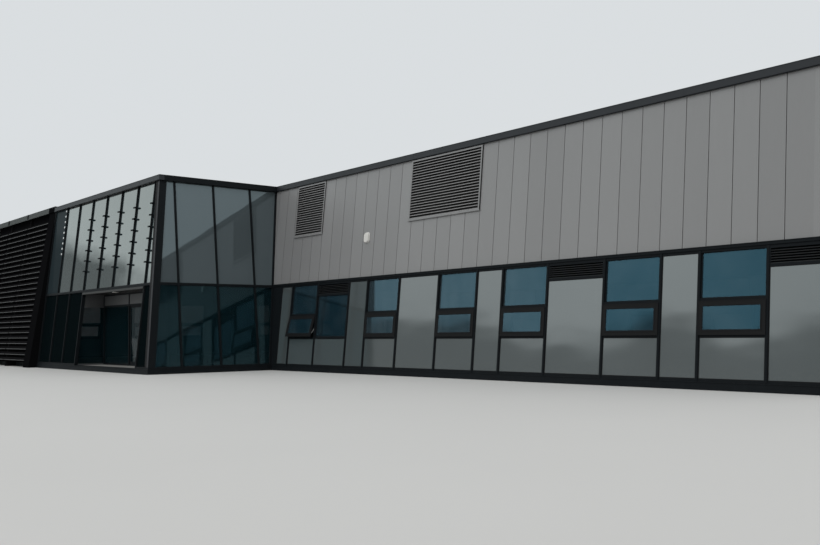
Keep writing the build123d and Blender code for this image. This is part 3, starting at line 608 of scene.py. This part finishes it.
def make_finishes(finishes, walls):
    """All finishes, by name."""
    made = {
        "cladding": cladding_finish("pale cladding", finishes.cladding, walls),
        "rear_cladding": cladding_finish("rear cladding", finishes.cladding, walls),
        "roof_edge": roof_edge_finish("roof edge metal", finishes.roof_edge, finishes.dark_metal, walls),
        "gloss_panel": gloss_panel_finish("back-painted glass", finishes.gloss_panel),
        "window_glass": window_finish("blue window glass", finishes.window_glass, finishes.pale_pane),
        "hall_upper_glass": hall_upper_finish("grey hall glass", finishes.hall_upper_glass, walls),
        "hall_lower_glass": hall_lower_finish("dark hall glass", finishes.hall_lower_glass, walls),
        "porch_glass": porch_finish("porch glass", finishes.hall_lower_glass),
        "render_coat": mineral_finish("inner wall coat", finishes.render_coat, 60, 0.0008, 0.8),
        "concrete": mineral_finish("floor concrete", finishes.concrete, 45, 0.001, 0.75),
        "roof_sheet": roof_finish("roof sheet", finishes.roof_sheet),
        "plastic": plastic_finish("pale plastic", finishes.plastic),
    }
    for key, (name, *numbers) in METALS.items():
        made[key] = coated_metal(name, getattr(finishes, key), *numbers)
    return made


def dress(node, material):
    """Gives a CAD node its finish on its own slots."""
    mesh = node.data
    if not mesh.materials:
        mesh.materials.append(material)
    for i in range(len(mesh.materials)):
        mesh.materials[i] = material


class SCHOOL_OT_finishes(bpy.types.Operator):
    """Give every node of the model its finish"""

    bl_idname = "school.finishes"
    bl_label = "Finishes"

    def execute(self, context):
        scene = context.scene
        made = make_finishes(scene.school_finishes, scene.school_walls)
        finish_of = {node: finish for finish, nodes in NODE_FINISHES.items() for node in nodes}
        for name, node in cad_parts.items():
            dress(node, made[finish_of.get(name, "dark_metal")])
        return {"FINISHED"}


# Modelling

# How near a corner lies to the face, front edge or line that it is read for
FACE_TOLERANCE = 0.004
EDGE_TOLERANCE = 0.002
LINE_TOLERANCE = 0.001

# Widest gap between two panes that counts as a mullion
WIDEST_MULLION = 0.1

HALL_WALLS = ("hall_front", "hall_side")
REAR_WALLS = ("right_end", "back", "left_end")


class WallFace:
    """Coordinates of one wall: x along it, y into the building and z up, leaning as the wall does."""

    def __init__(self, x, y, turn, lean):
        leaning = Matrix.Identity(4)
        leaning[1][2] = lean
        self.matrix = Matrix.Translation((x, y, 0)) @ Matrix.Rotation(math.radians(turn), 4, "Z") @ leaning
        self.inverse = self.matrix.inverted()

    def parts(self, node):
        """Corner points of each separate solid of a CAD node, in the wall's coordinates."""
        return [[self.inverse @ point for point in points] for points in loose_parts(node)]

    def swung(self, level, amount):
        """The same wall, swung out about a level line on its face."""
        hinge = self.matrix @ Vector((0, 0, level))
        swing = Matrix.Translation(hinge) @ Matrix.Rotation(-amount, 4, "X") @ Matrix.Translation(-hinge)
        made = WallFace(0, 0, 0, 0)
        made.matrix = swing @ self.matrix
        made.inverse = made.matrix.inverted()
        return made


def wall_faces(walls):
    """The outer walls by name, with the plane of the open sash and that of the louvre screen."""
    wing_front = WallFace(0, walls.wing_front, 0, walls.lean)
    return {
        "wing_front": wing_front,
        "open_sash": wing_front.swung(walls.sash_hinge, walls.sash_angle),
        "screen": WallFace(0, walls.screen_foot, 0, walls.screen_lean),
        "hall_front": WallFace(0, walls.hall_front, 0, walls.lean),
        "hall_side": WallFace(walls.junction, 0, 90, walls.lean),
        "right_end": WallFace(walls.right_end, 0, 90, walls.lean),
        "back": WallFace(0, walls.back, 180, walls.lean),
        "left_end": WallFace(walls.left_end, 0, -90, 0),
    }


def trim_and_faces(context):
    """Sizes of the trim, and the walls that carry it."""
    return context.scene.school_trim, wall_faces(context.scene.school_walls)


def loose_parts(node):
    """Corner points of each separate solid of a CAD node."""
    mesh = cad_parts[node].data
    key_of = [tuple(round(c, 5) for c in vertex.co) for vertex in mesh.vertices]
    parent = {key: key for key in key_of}

    def root(key):
        while parent[key] != key:
            parent[key] = parent[parent[key]]
            key = parent[key]
        return key

    for polygon in mesh.polygons:
        corners = [root(key_of[i]) for i in polygon.vertices]
        for other in corners[1:]:
            parent[root(other)] = root(corners[0])
    groups = {}
    for key in parent:
        groups.setdefault(root(key), []).append(Vector(key))
    return [groups[key] for key in sorted(groups)]


def extent(points):
    """Low and high corner of the box round some points."""
    low, high = ([end(point[i] for point in points) for i in range(3)] for end in (min, max))
    return Vector(low), Vector(high)


def outer_quads(node, face, reach=0.06, depth=0.12):
    """The outer faces of a node's solids that lie on a wall, as four corners each in its coordinates.

    The corners run low left, low right, top left, top right. The faces lie within the reach of the
    wall's face, and the solids go no further in than the depth.
    """
    quads = []
    for places in face.parts(node):
        low, high = extent(places)
        if abs(low.y) > reach or high.y > depth:
            continue
        outer = [place for place in places if place.y < low.y + FACE_TOLERANCE]
        corners = []
        for level in (low.z, high.z):
            row = [place.x for place in outer if abs(place.z - level) < FACE_TOLERANCE]
            if row:
                corners += [(min(row), low.y, level), (max(row), low.y, level)]
        if len(corners) == 4:
            quads.append(corners)
    return quads


def front_levels(places):
    """Lowest and highest level of the front edge of a screen blade."""
    front = extent(places)[0].y
    low, high = extent([place for place in places if place.y < front + EDGE_TOLERANCE])
    return low.z, high.z


def upright(left, right, low, high, out=0.0):
    """Corners of an upright rectangle on a wall, standing out of its face."""
    return [(left, -out, low), (right, -out, low), (left, -out, high), (right, -out, high)]


def bar(middle, width, low, high, out=0.0):
    """Corners of an upright bar about its middle line."""
    return upright(middle - width / 2, middle + width / 2, low, high, out)


def strip(quad, low, high):
    """Part of a quad between two heights above its foot."""
    tall = quad[2][2] - quad[0][2]
    corners = []
    for height in (low, high):
        for foot, head in ((quad[0], quad[2]), (quad[1], quad[3])):
            corners.append(tuple(a + (b - a) * height / tall for a, b in zip(foot, head)))
    return corners


def shrunk(quad, inset):
    """The same quad with its sides moved in."""
    turns = ((1, 1), (-1, 1), (1, -1), (-1, -1))
    return [(x + inset * right, y, z + inset * up) for (x, y, z), (right, up) in zip(quad, turns)]


def seams(quad, first, pitch, width):
    """Upright strips across a quad, evenly spaced from a first place."""
    made = []
    left, right = max(quad[0][0], quad[2][0]), min(quad[1][0], quad[3][0])
    count = math.floor((right - width - first) / pitch)
    for i in range(math.ceil((left + width - first) / pitch), count + 1):
        made.append(bar(first + i * pitch, width, quad[0][2], quad[2][2], -quad[0][1]))
    return made


def gaps_between(quads):
    """Middle, foot and head of each narrow gap between neighbouring quads of one row."""
    rows = {}
    for quad in quads:
        rows.setdefault((round(quad[0][2], 3), round(quad[2][2], 3)), []).append(quad)
    found = []
    for (low, high), row in rows.items():
        row.sort()
        for first, second in zip(row, row[1:]):
            if 0 < second[0][0] - first[1][0] < WIDEST_MULLION:
                found.append(((first[1][0] + second[0][0]) / 2, low, high))
    return found


def pick(*pieces):
    """Selects only these pieces, the first as the active one."""
    bpy.ops.object.select_all(action="DESELECT")
    for piece in pieces:
        piece.select_set(True)
    bpy.context.view_layer.objects.active = pieces[0]


def joined(name, pieces):
    """Several pieces as one."""
    pick(*pieces)
    if len(pieces) > 1:
        bpy.ops.object.join()
    piece = bpy.context.object
    piece.name = piece.data.name = name
    return piece


def quads_object(name, quads):
    """One object with a flat face for each list of four corners."""
    made = []
    for corners in quads:
        bpy.ops.mesh.primitive_plane_add(size=1)
        plane = bpy.context.object
        for vertex, place in zip(plane.data.vertices, corners):
            vertex.co = place
        made.append(plane)
    return joined(name, made)


def edit(piece, select):
    """Enters edit mode in face mode with only the faces selected that the test picks."""
    pick(piece)
    for polygon in piece.data.polygons:
        polygon.select = bool(select(polygon))
    for edge in piece.data.edges:
        edge.select = False
    for vertex in piece.data.vertices:
        vertex.select = False
    for polygon in piece.data.polygons:
        if polygon.select:
            for i in polygon.vertices:
                piece.data.vertices[i].select = True
    bpy.ops.object.mode_set(mode="EDIT")
    bpy.ops.mesh.select_mode(type="FACE")


def leave_edit():
    bpy.ops.object.mode_set(mode="OBJECT")


def apply_modifier(piece, kind, **settings):
    """Adds a modifier with its settings and applies it."""
    modifier = piece.modifiers.new(kind.lower(), kind)
    for name, setting in settings.items():
        setattr(modifier, name, setting)
    pick(piece)
    bpy.ops.object.modifier_apply(modifier=modifier.name)


def outward(polygon):
    """Whether a face looks straight out of the wall."""
    return polygon.normal.y < -0.9


def rings(name, quads, width, depth):
    """Square-cut frame just inside each quad, with its front edges eased."""
    piece = quads_object(name, quads)
    edit(piece, lambda polygon: True)
    bpy.ops.mesh.inset(thickness=width, use_individual=True)
    bpy.ops.mesh.delete(type="FACE")
    leave_edit()
    apply_modifier(piece, "SOLIDIFY", thickness=depth, offset=1)
    apply_modifier(piece, "BEVEL", width=min(width, depth) * 0.2, segments=1, limit_method="ANGLE")
    return piece


def capped_bars(name, quads, depth, step=0.0, rim=0.008):
    """Pressed bars on each quad: a flat bar, then a narrower rib down its middle."""
    piece = quads_object(name, quads)
    apply_modifier(piece, "SOLIDIFY", thickness=depth, offset=1)
    if step:
        edit(piece, outward)
        bpy.ops.mesh.inset(thickness=rim, use_individual=True)
        bpy.ops.mesh.extrude_region_move(TRANSFORM_OT_translate={"value": (0, -step, 0)})
        leave_edit()
    apply_modifier(piece, "BEVEL", width=0.0015, segments=1, limit_method="ANGLE")
    return piece


def rod(name, start, end, radius):
    """Round rod between two points."""
    along = end - start
    bpy.ops.mesh.primitive_cylinder_add(vertices=12, radius=radius, depth=along.length)
    piece = bpy.context.object
    piece.name = name
    turn = along.to_track_quat("Z", "Y").to_matrix().to_4x4()
    piece.data.transform(Matrix.Translation((start + end) / 2) @ turn)
    return piece


def lean_on(piece, face):
    """Sets a piece from a wall's coordinates into the frame of the model."""
    piece.data.transform(face.matrix)
    return piece


def finish_piece(piece, material, slot, *replaced):
    """Gives a finished piece its finish and its body, and hides the nodes that it stands in for. The slot
    is not used.
    """
    piece.data.materials.clear()
    piece.data.materials.append(bpy.data.materials[material])
    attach(piece, "root")
    if replaced:
        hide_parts(*replaced)


# Pieces


class SCHOOL_OT_gaskets(bpy.types.Operator):
    """Rubber gaskets round the panels and panes of the ground floor and the hall"""

    bl_idname = "school.gaskets"
    bl_label = "Gaskets"

    def execute(self, context):
        trim, faces = trim_and_faces(context)
        front_nodes = ("wing_front_panels", "wing_front_glass")
        hall_nodes = ("hall_upper_glass", "hall_lower_glass")
        for name, nodes, walls, width in (
            ("wing_front_gaskets", front_nodes, ("wing_front", "open_sash"), trim.gasket_width),
            ("rear_gaskets", ("rear_panels", "rear_glass"), REAR_WALLS, trim.gasket_width),
            ("hall_gaskets", hall_nodes, HALL_WALLS, trim.hall_gasket),
        ):
            made = []
            for wall in walls:
                quads = [quad for node in nodes for quad in outer_quads(node, faces[wall])]
                if quads:
                    made.append(lean_on(rings(name, quads, width, trim.gasket_depth), faces[wall]))
            finish_piece(joined(name, made), "black rubber", "dark_metal")
        return {"FINISHED"}


class SCHOOL_OT_mullion_caps(bpy.types.Operator):
    """Pressed caps on the mullions of the ground floor"""

    bl_idname = "school.mullion_caps"
    bl_label = "Mullion caps"

    def execute(self, context):
        trim, faces = trim_and_faces(context)
        for name, node, walls in (
            ("wing_front_caps", "wing_front_panels", ("wing_front",)),
            ("rear_caps", "rear_panels", REAR_WALLS),
        ):
            made = [lean_on(self.caps(name, node, faces[wall], trim), faces[wall]) for wall in walls]
            finish_piece(joined(name, made), "anthracite metal", "dark_metal")
        return {"FINISHED"}

    def caps(self, name, node, face, trim):
        """One cap between each pair of neighbouring bays, from the plinth to the band."""
        highest_foot = 0.2
        bays = sorted(quad for quad in outer_quads(node, face) if quad[0][2] < highest_foot)
        quads = []
        for left, right in zip(bays, bays[1:]):
            middle = (left[1][0] + right[0][0]) / 2
            quads.append(bar(middle, trim.cap_width, trim.cap_low, trim.cap_high))
        return capped_bars(name, quads, trim.cap_depth, trim.cap_rib, trim.cap_rim)


class SCHOOL_OT_sash_beads(bpy.types.Operator):
    """Raised rims on the opening sashes, with a bead round the glass"""

    bl_idname = "school.sash_beads"
    bl_label = "Sash beads"

    def execute(self, context):
        trim, faces = trim_and_faces(context)
        for name, node, walls in (
            ("wing_front_sash_beads", "wing_front_sashes", ("wing_front", "open_sash")),
            ("rear_sash_beads", "rear_sashes", REAR_WALLS),
        ):
            made = []
            for wall in walls:
                quads = outer_quads(node, faces[wall])
                inner = [shrunk(quad, trim.sash_member - trim.bead_width) for quad in quads]
                for row in (quads, inner):
                    made.append(lean_on(rings(name, row, trim.bead_width, trim.bead_depth), faces[wall]))
            finish_piece(joined(name, made), "black rubber", "dark_metal")
        return {"FINISHED"}


class SCHOOL_OT_louvre_frames(bpy.types.Operator):
    """Pale frames round the plant louvres, with a sill along the foot"""

    bl_idname = "school.louvre_frames"
    bl_label = "Louvre frames"

    def execute(self, context):
        trim, faces = trim_and_faces(context)
        face = faces["wing_front"]
        quads = outer_quads("plant_louvres", face, depth=0.13)
        ring = rings("ring", quads, trim.flange_width, trim.flange_depth)
        sills = []
        for low_left, low_right, _, _ in quads:
            left, right = low_left[0] - trim.sill_lap, low_right[0] + trim.sill_lap
            foot = low_left[2]
            sills.append(upright(left, right, foot - trim.sill_drop, foot + trim.sill_lap, -low_left[1]))
        sill = capped_bars("sill", sills, trim.flange_depth * 1.6, step=0.004, rim=0.006)
        piece = lean_on(joined("louvre_frames", [ring, sill]), face)
        finish_piece(piece, "louvre frame metal", "louvre_metal")
        return {"FINISHED"}


class SCHOOL_OT_blade_edges(bpy.types.Operator):
    """Rolled front edges on the blades of the plant louvres, the slats under the band and the blades of
    the louvre screen, paler than the blades as a painted highlight where the edges catch the light
    """

    bl_idname = "school.blade_edges"
    bl_label = "Blade edges"

    def execute(self, context):
        trim, faces = trim_and_faces(context)
        face, screen = faces["wing_front"], faces["screen"]
        for name, node, material, width in (
            # The paler edge colours are painted highlights.
            ("louvre_edges", "plant_louvres", "louvre edge highlight", trim.blade_edge),
            ("strip_edges", "strip_louvres", "slat edge highlight", trim.slat_edge),
        ):
            quads = [quad for places in face.parts(node) for quad in self.edges(places, width)]
            piece = capped_bars(name, quads, trim.edge_depth)
            finish_piece(lean_on(piece, face), material, "louvre_metal")
        edges = []
        lap = 0.001
        for places in screen.parts("screen_blades"):
            low, high = extent(places)
            foot, head = front_levels(places)
            edges.append(upright(low.x, high.x, foot - lap, head + lap, -low.y))
        # Painted highlight on the front edges of the screen blades.
        piece = capped_bars("screen_edges", edges, trim.edge_depth)
        finish_piece(lean_on(piece, screen), "screen edge highlight", "black_screen")
        return {"FINISHED"}

    def edges(self, places, width):
        """One strip in front of each blade of a bank, found from the corners at the blades' front."""
        least_pitch = 0.008
        low, high = extent(places)
        left, right = low.x + FACE_TOLERANCE, high.x - FACE_TOLERANCE
        inner = [place for place in places if left < place.x < right]
        front = min(place.y for place in inner if place.y > low.y + EDGE_TOLERANCE)
        levels = sorted({round(place.z, 4) for place in inner if abs(place.y - front) < LINE_TOLERANCE})
        start, end = extent(inner)
        feet = [level for i, level in enumerate(levels) if i == 0 or level - levels[i - 1] > least_pitch]
        return [upright(start.x, end.x, foot, foot + width, -front) for foot in feet]


class SCHOOL_OT_fascia_trims(bpy.types.Operator):
    """Lips and joint straps on the fascias and plinths, and a drip under the cladding; the lips along the
    foot of the fascias are in the darker anthracite metal as a painted shadow line.
    """

    bl_idname = "school.fascia_trims"
    bl_label = "Fascia trims"

    def execute(self, context):
        trim, faces = trim_and_faces(context)
        front = ("wing_front", *HALL_WALLS)
        rear = REAR_WALLS[:2]
        for name, node, walls, material in (
            ("front_fascia_trims", "front_fascia", front, "roof edge metal"),
            ("rear_fascia_trims", "rear_fascia", rear, "roof edge metal"),
            ("plinth_trims", "front_plinth", front, "anthracite metal"),
            ("front_band_trims", "band_flashing", front[:1], "anthracite metal"),
            ("rear_band_trims", "band_flashing", rear, "anthracite metal"),
        ):
            feet, heads = [], []
            for wall in walls:
                quads = outer_quads(node, faces[wall], depth=0.25)
                lips = [strip(quad, 0, trim.lip_height) for quad in quads]
                feet.append(lean_on(capped_bars(name, lips, trim.lip_depth), faces[wall]))
                heads.append(lean_on(self.head(name, quads, trim), faces[wall]))
            # On the fascias the darker foot lip is a painted shadow line under the fascia face.
            finish_piece(joined(name + "_foot", feet), "anthracite metal", "dark_metal")
            finish_piece(joined(name, heads), material, "dark_metal")
        return {"FINISHED"}

    def head(self, name, quads, trim):
        """A lip along the head of each quad, with straps over its joints."""
        lips, straps = [], []
        for quad in quads:
            tall = quad[2][2] - quad[0][2]
            lips.append(strip(quad, tall - trim.lip_height, tall))
            straps += seams(quad, trim.first_strap, trim.strap_pitch, trim.strap_width)
        parts = [capped_bars(name, lips, trim.lip_depth)]
        if straps:
            parts.append(capped_bars(name, straps, trim.strap_depth))
        return joined(name, parts)


class SCHOOL_OT_hall_caps(bpy.types.Operator):
    """Caps on the mullions and the transom of the glazed hall, and the slim bar beside its corner"""

    bl_idname = "school.hall_caps"
    bl_label = "Hall caps"

    def execute(self, context):
        trim, faces = trim_and_faces(context)
        width, foot_drop = trim.hall_cap_width, 0.03
        made = []
        for wall in HALL_WALLS:
            uppers = outer_quads("hall_upper_glass", faces[wall])
            lowers = outer_quads("hall_lower_glass", faces[wall])
            transom = (max(quad[2][2] for quad in lowers) + min(quad[0][2] for quad in uppers)) / 2
            bars = [bar(middle, width, transom, high) for middle, _, high in gaps_between(uppers)]
            for middle, low, _ in gaps_between(lowers):
                bars.append(bar(middle, width, low - foot_drop, transom))
            left = min(quad[0][0] for quad in uppers)
            right = max(quad[1][0] for quad in uppers)
            ledge = upright(left, right, transom - width / 2, transom + width / 2)
            parts = []
            for name, quads, depth in (
                ("bars", bars, trim.hall_cap_depth),
                ("ledge", [ledge], trim.hall_cap_depth * 0.7),
            ):
                parts.append(capped_bars(name, quads, depth, trim.hall_cap_rib, width / 4))
            if wall == "hall_front":
                self.corner_bars(uppers, lowers, faces[wall], trim)
            made.append(lean_on(joined("hall_caps", parts), faces[wall]))
        finish_piece(joined("hall_caps", made), "anthracite metal", "dark_metal")
        return {"FINISHED"}

    def corner_bars(self, uppers, lowers, face, trim):
        """Slim bar and strip at the edge of the last pane, parallel with the leaning corner."""
        top = max(uppers, key=lambda quad: quad[1][0])
        foot = max(lowers, key=lambda quad: quad[1][0])
        out = 0.002
        start = -trim.corner_bar_place
        for name, width, material in (
            ("corner_bar", trim.corner_bar_width, "black rubber"),
            ("corner_strip", trim.corner_strip_width, "corner strip metal"),
        ):
            end = start + width
            corners = [(x + shift, -out, z) for x, _, z in (foot[1], top[3]) for shift in (start, end)]
            piece = capped_bars(name, [corners], trim.corner_bar_depth)
            finish_piece(lean_on(piece, face), material, "dark_metal")
            start = end


class SCHOOL_OT_brackets(bpy.types.Operator):
    """Brackets across the mullions of the hall, with eased edges"""

    bl_idname = "school.brackets"
    bl_label = "Brackets"

    def execute(self, context):
        trim, faces = trim_and_faces(context)
        face = faces["hall_front"]
        quads = []
        for places in face.parts("mullion_brackets"):
            middle = sum(places, Vector()) / len(places)
            low, high = middle.z - trim.bracket_height / 2, middle.z + trim.bracket_height / 2
            quads.append(bar(middle.x, trim.bracket_length, low, high))
        piece = capped_bars("brackets", quads, trim.bracket_reach)
        finish_piece(lean_on(piece, face), "anthracite metal", "dark_metal", "mullion_brackets")
        return {"FINISHED"}


class SCHOOL_OT_studs(bpy.types.Operator):
    """Row of bright clips on the glass beside the first mullion of the hall"""

    bl_idname = "school.studs"
    bl_label = "Studs"

    def execute(self, context):
        trim, faces = trim_and_faces(context)
        face = faces["hall_front"]
        first, second = sorted(outer_quads("hall_upper_glass", face))[:2]
        right = (first[1][0] + second[0][0]) / 2 - trim.stud_gap
        quads = []
        for i in range(trim.studs):
            top = first[2][2] - trim.stud_drop - i * trim.stud_pitch
            left, low = right - trim.stud_width, top - trim.stud_height
            quads.append(upright(left, right, low, top, -first[0][1]))
        piece = capped_bars("mullion_studs", quads, trim.stud_depth)
        finish_piece(lean_on(piece, face), "bright stud metal", "grey_metal")
        return {"FINISHED"}


class SCHOOL_OT_screen_clips(bpy.types.Operator):
    """Clips that hold the blades of the louvre screen to its posts"""

    bl_idname = "school.screen_clips"
    bl_label = "Screen clips"

    def execute(self, context):
        trim, faces = trim_and_faces(context)
        face = faces["screen"]
        highest_foot, below, above = 0.5, 0.004, 0.010
        posts = []
        for places in face.parts("screen_posts"):
            low, high = extent(places)
            if low.z < highest_foot:
                posts.append((low.x + high.x) / 2)
        quads = []
        for places in face.parts("screen_blades"):
            front = extent(places)[0].y
            foot, head = front_levels(places)
            for post in posts:
                quads.append(bar(post, trim.clip_width, foot - below, head + above, -front))
        piece = capped_bars("screen_clips", quads, trim.clip_depth)
        finish_piece(lean_on(piece, face), "black screen metal", "black_screen")
        return {"FINISHED"}


class SCHOOL_OT_bell_cover(bpy.types.Operator):
    """Moulded cover with cut corners in place of the plain bell box"""

    bl_idname = "school.bell_cover"
    bl_label = "Bell cover"

    def execute(self, context):
        trim, faces = trim_and_faces(context)
        face = faces["wing_front"]
        low, high = extent(face.parts("bell_box")[0])
        plate, rim, shoulder = 0.012, 0.010, 0.012
        rise = high.y - low.y - plate - rim
        cover = self.plate("bell_cover", low, high, plate, trim.bell_corner)
        edit(cover, outward)
        bpy.ops.mesh.inset(thickness=rim, use_individual=True)
        bpy.ops.mesh.extrude_region_move(TRANSFORM_OT_translate={"value": (0, -rise, 0)})
        bpy.ops.mesh.bevel(offset=shoulder, segments=3, affect="EDGES")
        leave_edit()
        apply_modifier(cover, "BEVEL", width=0.002, segments=2, limit_method="ANGLE")
        finish_piece(lean_on(cover, face), "pale plastic", "pale_plastic", "bell_box")
        return {"FINISHED"}

    def plate(self, name, low, high, thickness, corner):
        """Back plate of the cover with its four upright corners cut off."""
        outline = [
            (low.x + corner, low.z),
            (high.x - corner, low.z),
            (high.x, low.z + corner),
            (high.x, high.z - corner),
            (high.x - corner, high.z),
            (low.x + corner, high.z),
            (low.x, high.z - corner),
            (low.x, low.z + corner),
        ]
        bpy.ops.mesh.primitive_circle_add(vertices=len(outline), radius=1, fill_type="NGON")
        piece = bpy.context.object
        piece.name = piece.data.name = name
        for vertex, (x, z) in zip(piece.data.vertices, reversed(outline)):
            vertex.co = (x, high.y, z)
        piece.data.update()
        apply_modifier(piece, "SOLIDIFY", thickness=thickness, offset=-1)
        return piece


class SCHOOL_OT_sash_stays(bpy.types.Operator):
    """Stays that hold the open sash"""

    bl_idname = "school.sash_stays"
    bl_label = "Sash stays"

    def execute(self, context):
        trim, faces = trim_and_faces(context)
        sash = outer_quads("wing_front_sashes", faces["open_sash"])[0]
        depth = 0.02
        rods = []
        for side in (sash[0][0] + trim.stay_inset, sash[1][0] - trim.stay_inset):
            level = sash[0][2] + trim.stay_inset
            outer = faces["open_sash"].matrix @ Vector((side, 0, level))
            inner = faces["wing_front"].matrix @ Vector((side, depth, level + trim.stay_rise))
            rods.append(rod("stay", inner, outer, trim.stay_radius))
        finish_piece(joined("sash_stays", rods), "bright stud metal", "grey_metal")
        return {"FINISHED"}


# Stage

# Height of the mirrored skyline by direction: from the far left, at 0, to straight ahead, at 1
SKYLINE = ((0.050, 0.175), (0.075, 0.130), (0.150, 0.130), (0.220, 0.152), (0.340, 0.152), (0.560, 0.192))

# Height of the hills on it, and the levels between which the dark goes over into the sky
HILLS = 0.18
HORIZON_EDGE = (-0.012, 0.013)

SUN_DIRECTION = (-0.30, 0.75, -0.85)
SUN_SPREAD = math.radians(50)
FLOOR_RADIUS = 260


class SCHOOL_OT_studio(bpy.types.Operator):
    """Set up the camera, the soft light, the floor and the background"""

    bl_idname = "school.studio"
    bl_label = "Studio"

    def execute(self, context):
        scene = context.scene
        studio = scene.school_studio
        self.add_camera(scene, studio)
        self.add_floor(studio)
        self.add_lights(scene, studio)
        scene.view_settings.view_transform = "Standard"
        return {"FINISHED"}

    def add_camera(self, scene, studio):
        data = bpy.data.cameras.new("camera")
        data.sensor_width = 36
        data.lens = studio.lens
        data.clip_end = 500
        camera = bpy.data.objects.new("camera", data)
        scene.collection.objects.link(camera)
        turn = Matrix.Rotation(studio.camera_yaw, 4, "Z")
        tilt = Matrix.Rotation(math.radians(90) + studio.camera_pitch, 4, "X")
        roll = Matrix.Rotation(studio.camera_roll, 4, "Z")
        camera.matrix_world = Matrix.Translation(Vector(studio.camera_place)) @ turn @ tilt @ roll
        scene.camera = camera

    def add_floor(self, studio):
        bpy.ops.mesh.primitive_circle_add(vertices=96, radius=FLOOR_RADIUS, fill_type="NGON")
        floor = bpy.context.object
        floor.name = "studio_floor"
        shader = Shader("studio floor")
        cloud = shader.noise(0.4, 3, 0.5)
        floor.data.materials.append(
            shader.surface(Base_Color=shader.shaded(studio.floor, 0.98 + cloud * 0.04), Roughness=0.8)
        )

    def add_lights(self, scene, studio):
        sun = bpy.data.lights.new("soft key", "SUN")
        sun.energy = studio.sun_strength
        sun.angle = SUN_SPREAD
        lamp = bpy.data.objects.new("soft key", sun)
        scene.collection.objects.link(lamp)
        lamp.rotation_euler = Vector(SUN_DIRECTION).to_track_quat("-Z", "Y").to_euler()
        scene.world = self.make_world(studio)

    def make_world(self, studio):
        """Even light, a pale background, and for reflections a sky above an uneven dark horizon."""
        shader = Shader("studio", world=True)
        skyline = shader.node("ShaderNodeValToRGB", {}, {0: shader.x + 1.0})
        elements = skyline.color_ramp.elements
        while len(elements) < len(SKYLINE):
            elements.new(0.5)
        for element, (turn, level) in zip(elements, SKYLINE):
            element.position = turn
            element.color = (level, level, level, 1)
        above = shader.z - skyline.outputs[0] + (shader.noise(9.0, 5) - 0.5) * HILLS
        level = above.ramp(*HORIZON_EDGE).ramp(0.0, 1.0, studio.horizon, studio.sky_level)
        drift = shader.noise(2.2, 3).ramp(0.30, 0.70).ramp(0.0, 1.0, 0.82, 1.15)

        def background(tint, strength):
            inputs = {"Color": opaque(tint), "Strength": strength}
            return shader.node("ShaderNodeBackground", {}, inputs).outputs[0]

        mirrored = background(studio.mirrored_sky, level * drift)
        seen = background(studio.background, 1.0)
        shown = background((1, 1, 1), studio.sky_strength)
        path = shader.node("ShaderNodeLightPath", {}, {})
        for ray, surface in (
            ("Is Glossy Ray", mirrored),
            ("Is Transmission Ray", seen),
            ("Is Camera Ray", seen),
        ):
            shown = shader.blend(path.outputs[ray], shown, surface)
        shader.node("ShaderNodeOutputWorld", {}, {"Surface": shown})
        return shader.owner


# Add-on


class SCHOOL_PT_panel(bpy.types.Panel):
    """Sizes, colours and steps of the school building"""

    bl_idname = "SCHOOL_PT_panel"
    bl_label = "School Building"
    bl_space_type = "VIEW_3D"
    bl_region_type = "UI"
    bl_category = "School"

    def draw(self, context):
        layout = self.layout
        for owner in GROUPS:
            group = getattr(context.scene, owner)
            box = layout.box()
            for name in group.bl_rna.properties.keys():
                if name not in ("rna_type", "name"):
                    box.prop(group, name)
        for operator in STEPS:
            layout.operator(operator.bl_idname)


STEPS = (
    SCHOOL_OT_finishes,
    SCHOOL_OT_gaskets,
    SCHOOL_OT_mullion_caps,
    SCHOOL_OT_sash_beads,
    SCHOOL_OT_louvre_frames,
    SCHOOL_OT_blade_edges,
    SCHOOL_OT_fascia_trims,
    SCHOOL_OT_hall_caps,
    SCHOOL_OT_brackets,
    SCHOOL_OT_studs,
    SCHOOL_OT_screen_clips,
    SCHOOL_OT_bell_cover,
    SCHOOL_OT_sash_stays,
    SCHOOL_OT_studio,
)
GROUPS = {
    "school_walls": SCHOOL_Walls,
    "school_finishes": SCHOOL_Finishes,
    "school_trim": SCHOOL_Trim,
    "school_studio": SCHOOL_Studio,
}


def register():
    for cls in (*GROUPS.values(), *STEPS, SCHOOL_PT_panel):
        bpy.utils.register_class(cls)
    for name, group in GROUPS.items():
        setattr(bpy.types.Scene, name, PointerProperty(type=group))


def unregister():
    for name in GROUPS:
        delattr(bpy.types.Scene, name)
    for cls in reversed((*GROUPS.values(), *STEPS, SCHOOL_PT_panel)):
        bpy.utils.unregister_class(cls)


def main():
    register()
    bpy.ops.school.finishes()
    bpy.ops.school.gaskets()
    bpy.ops.school.mullion_caps()
    bpy.ops.school.sash_beads()
    bpy.ops.school.louvre_frames()
    bpy.ops.school.blade_edges()
    bpy.ops.school.fascia_trims()
    bpy.ops.school.hall_caps()
    bpy.ops.school.brackets()
    bpy.ops.school.studs()
    bpy.ops.school.screen_clips()
    bpy.ops.school.bell_cover()
    bpy.ops.school.sash_stays()
    bpy.ops.school.studio()


if __name__ == "__main__":
    main()
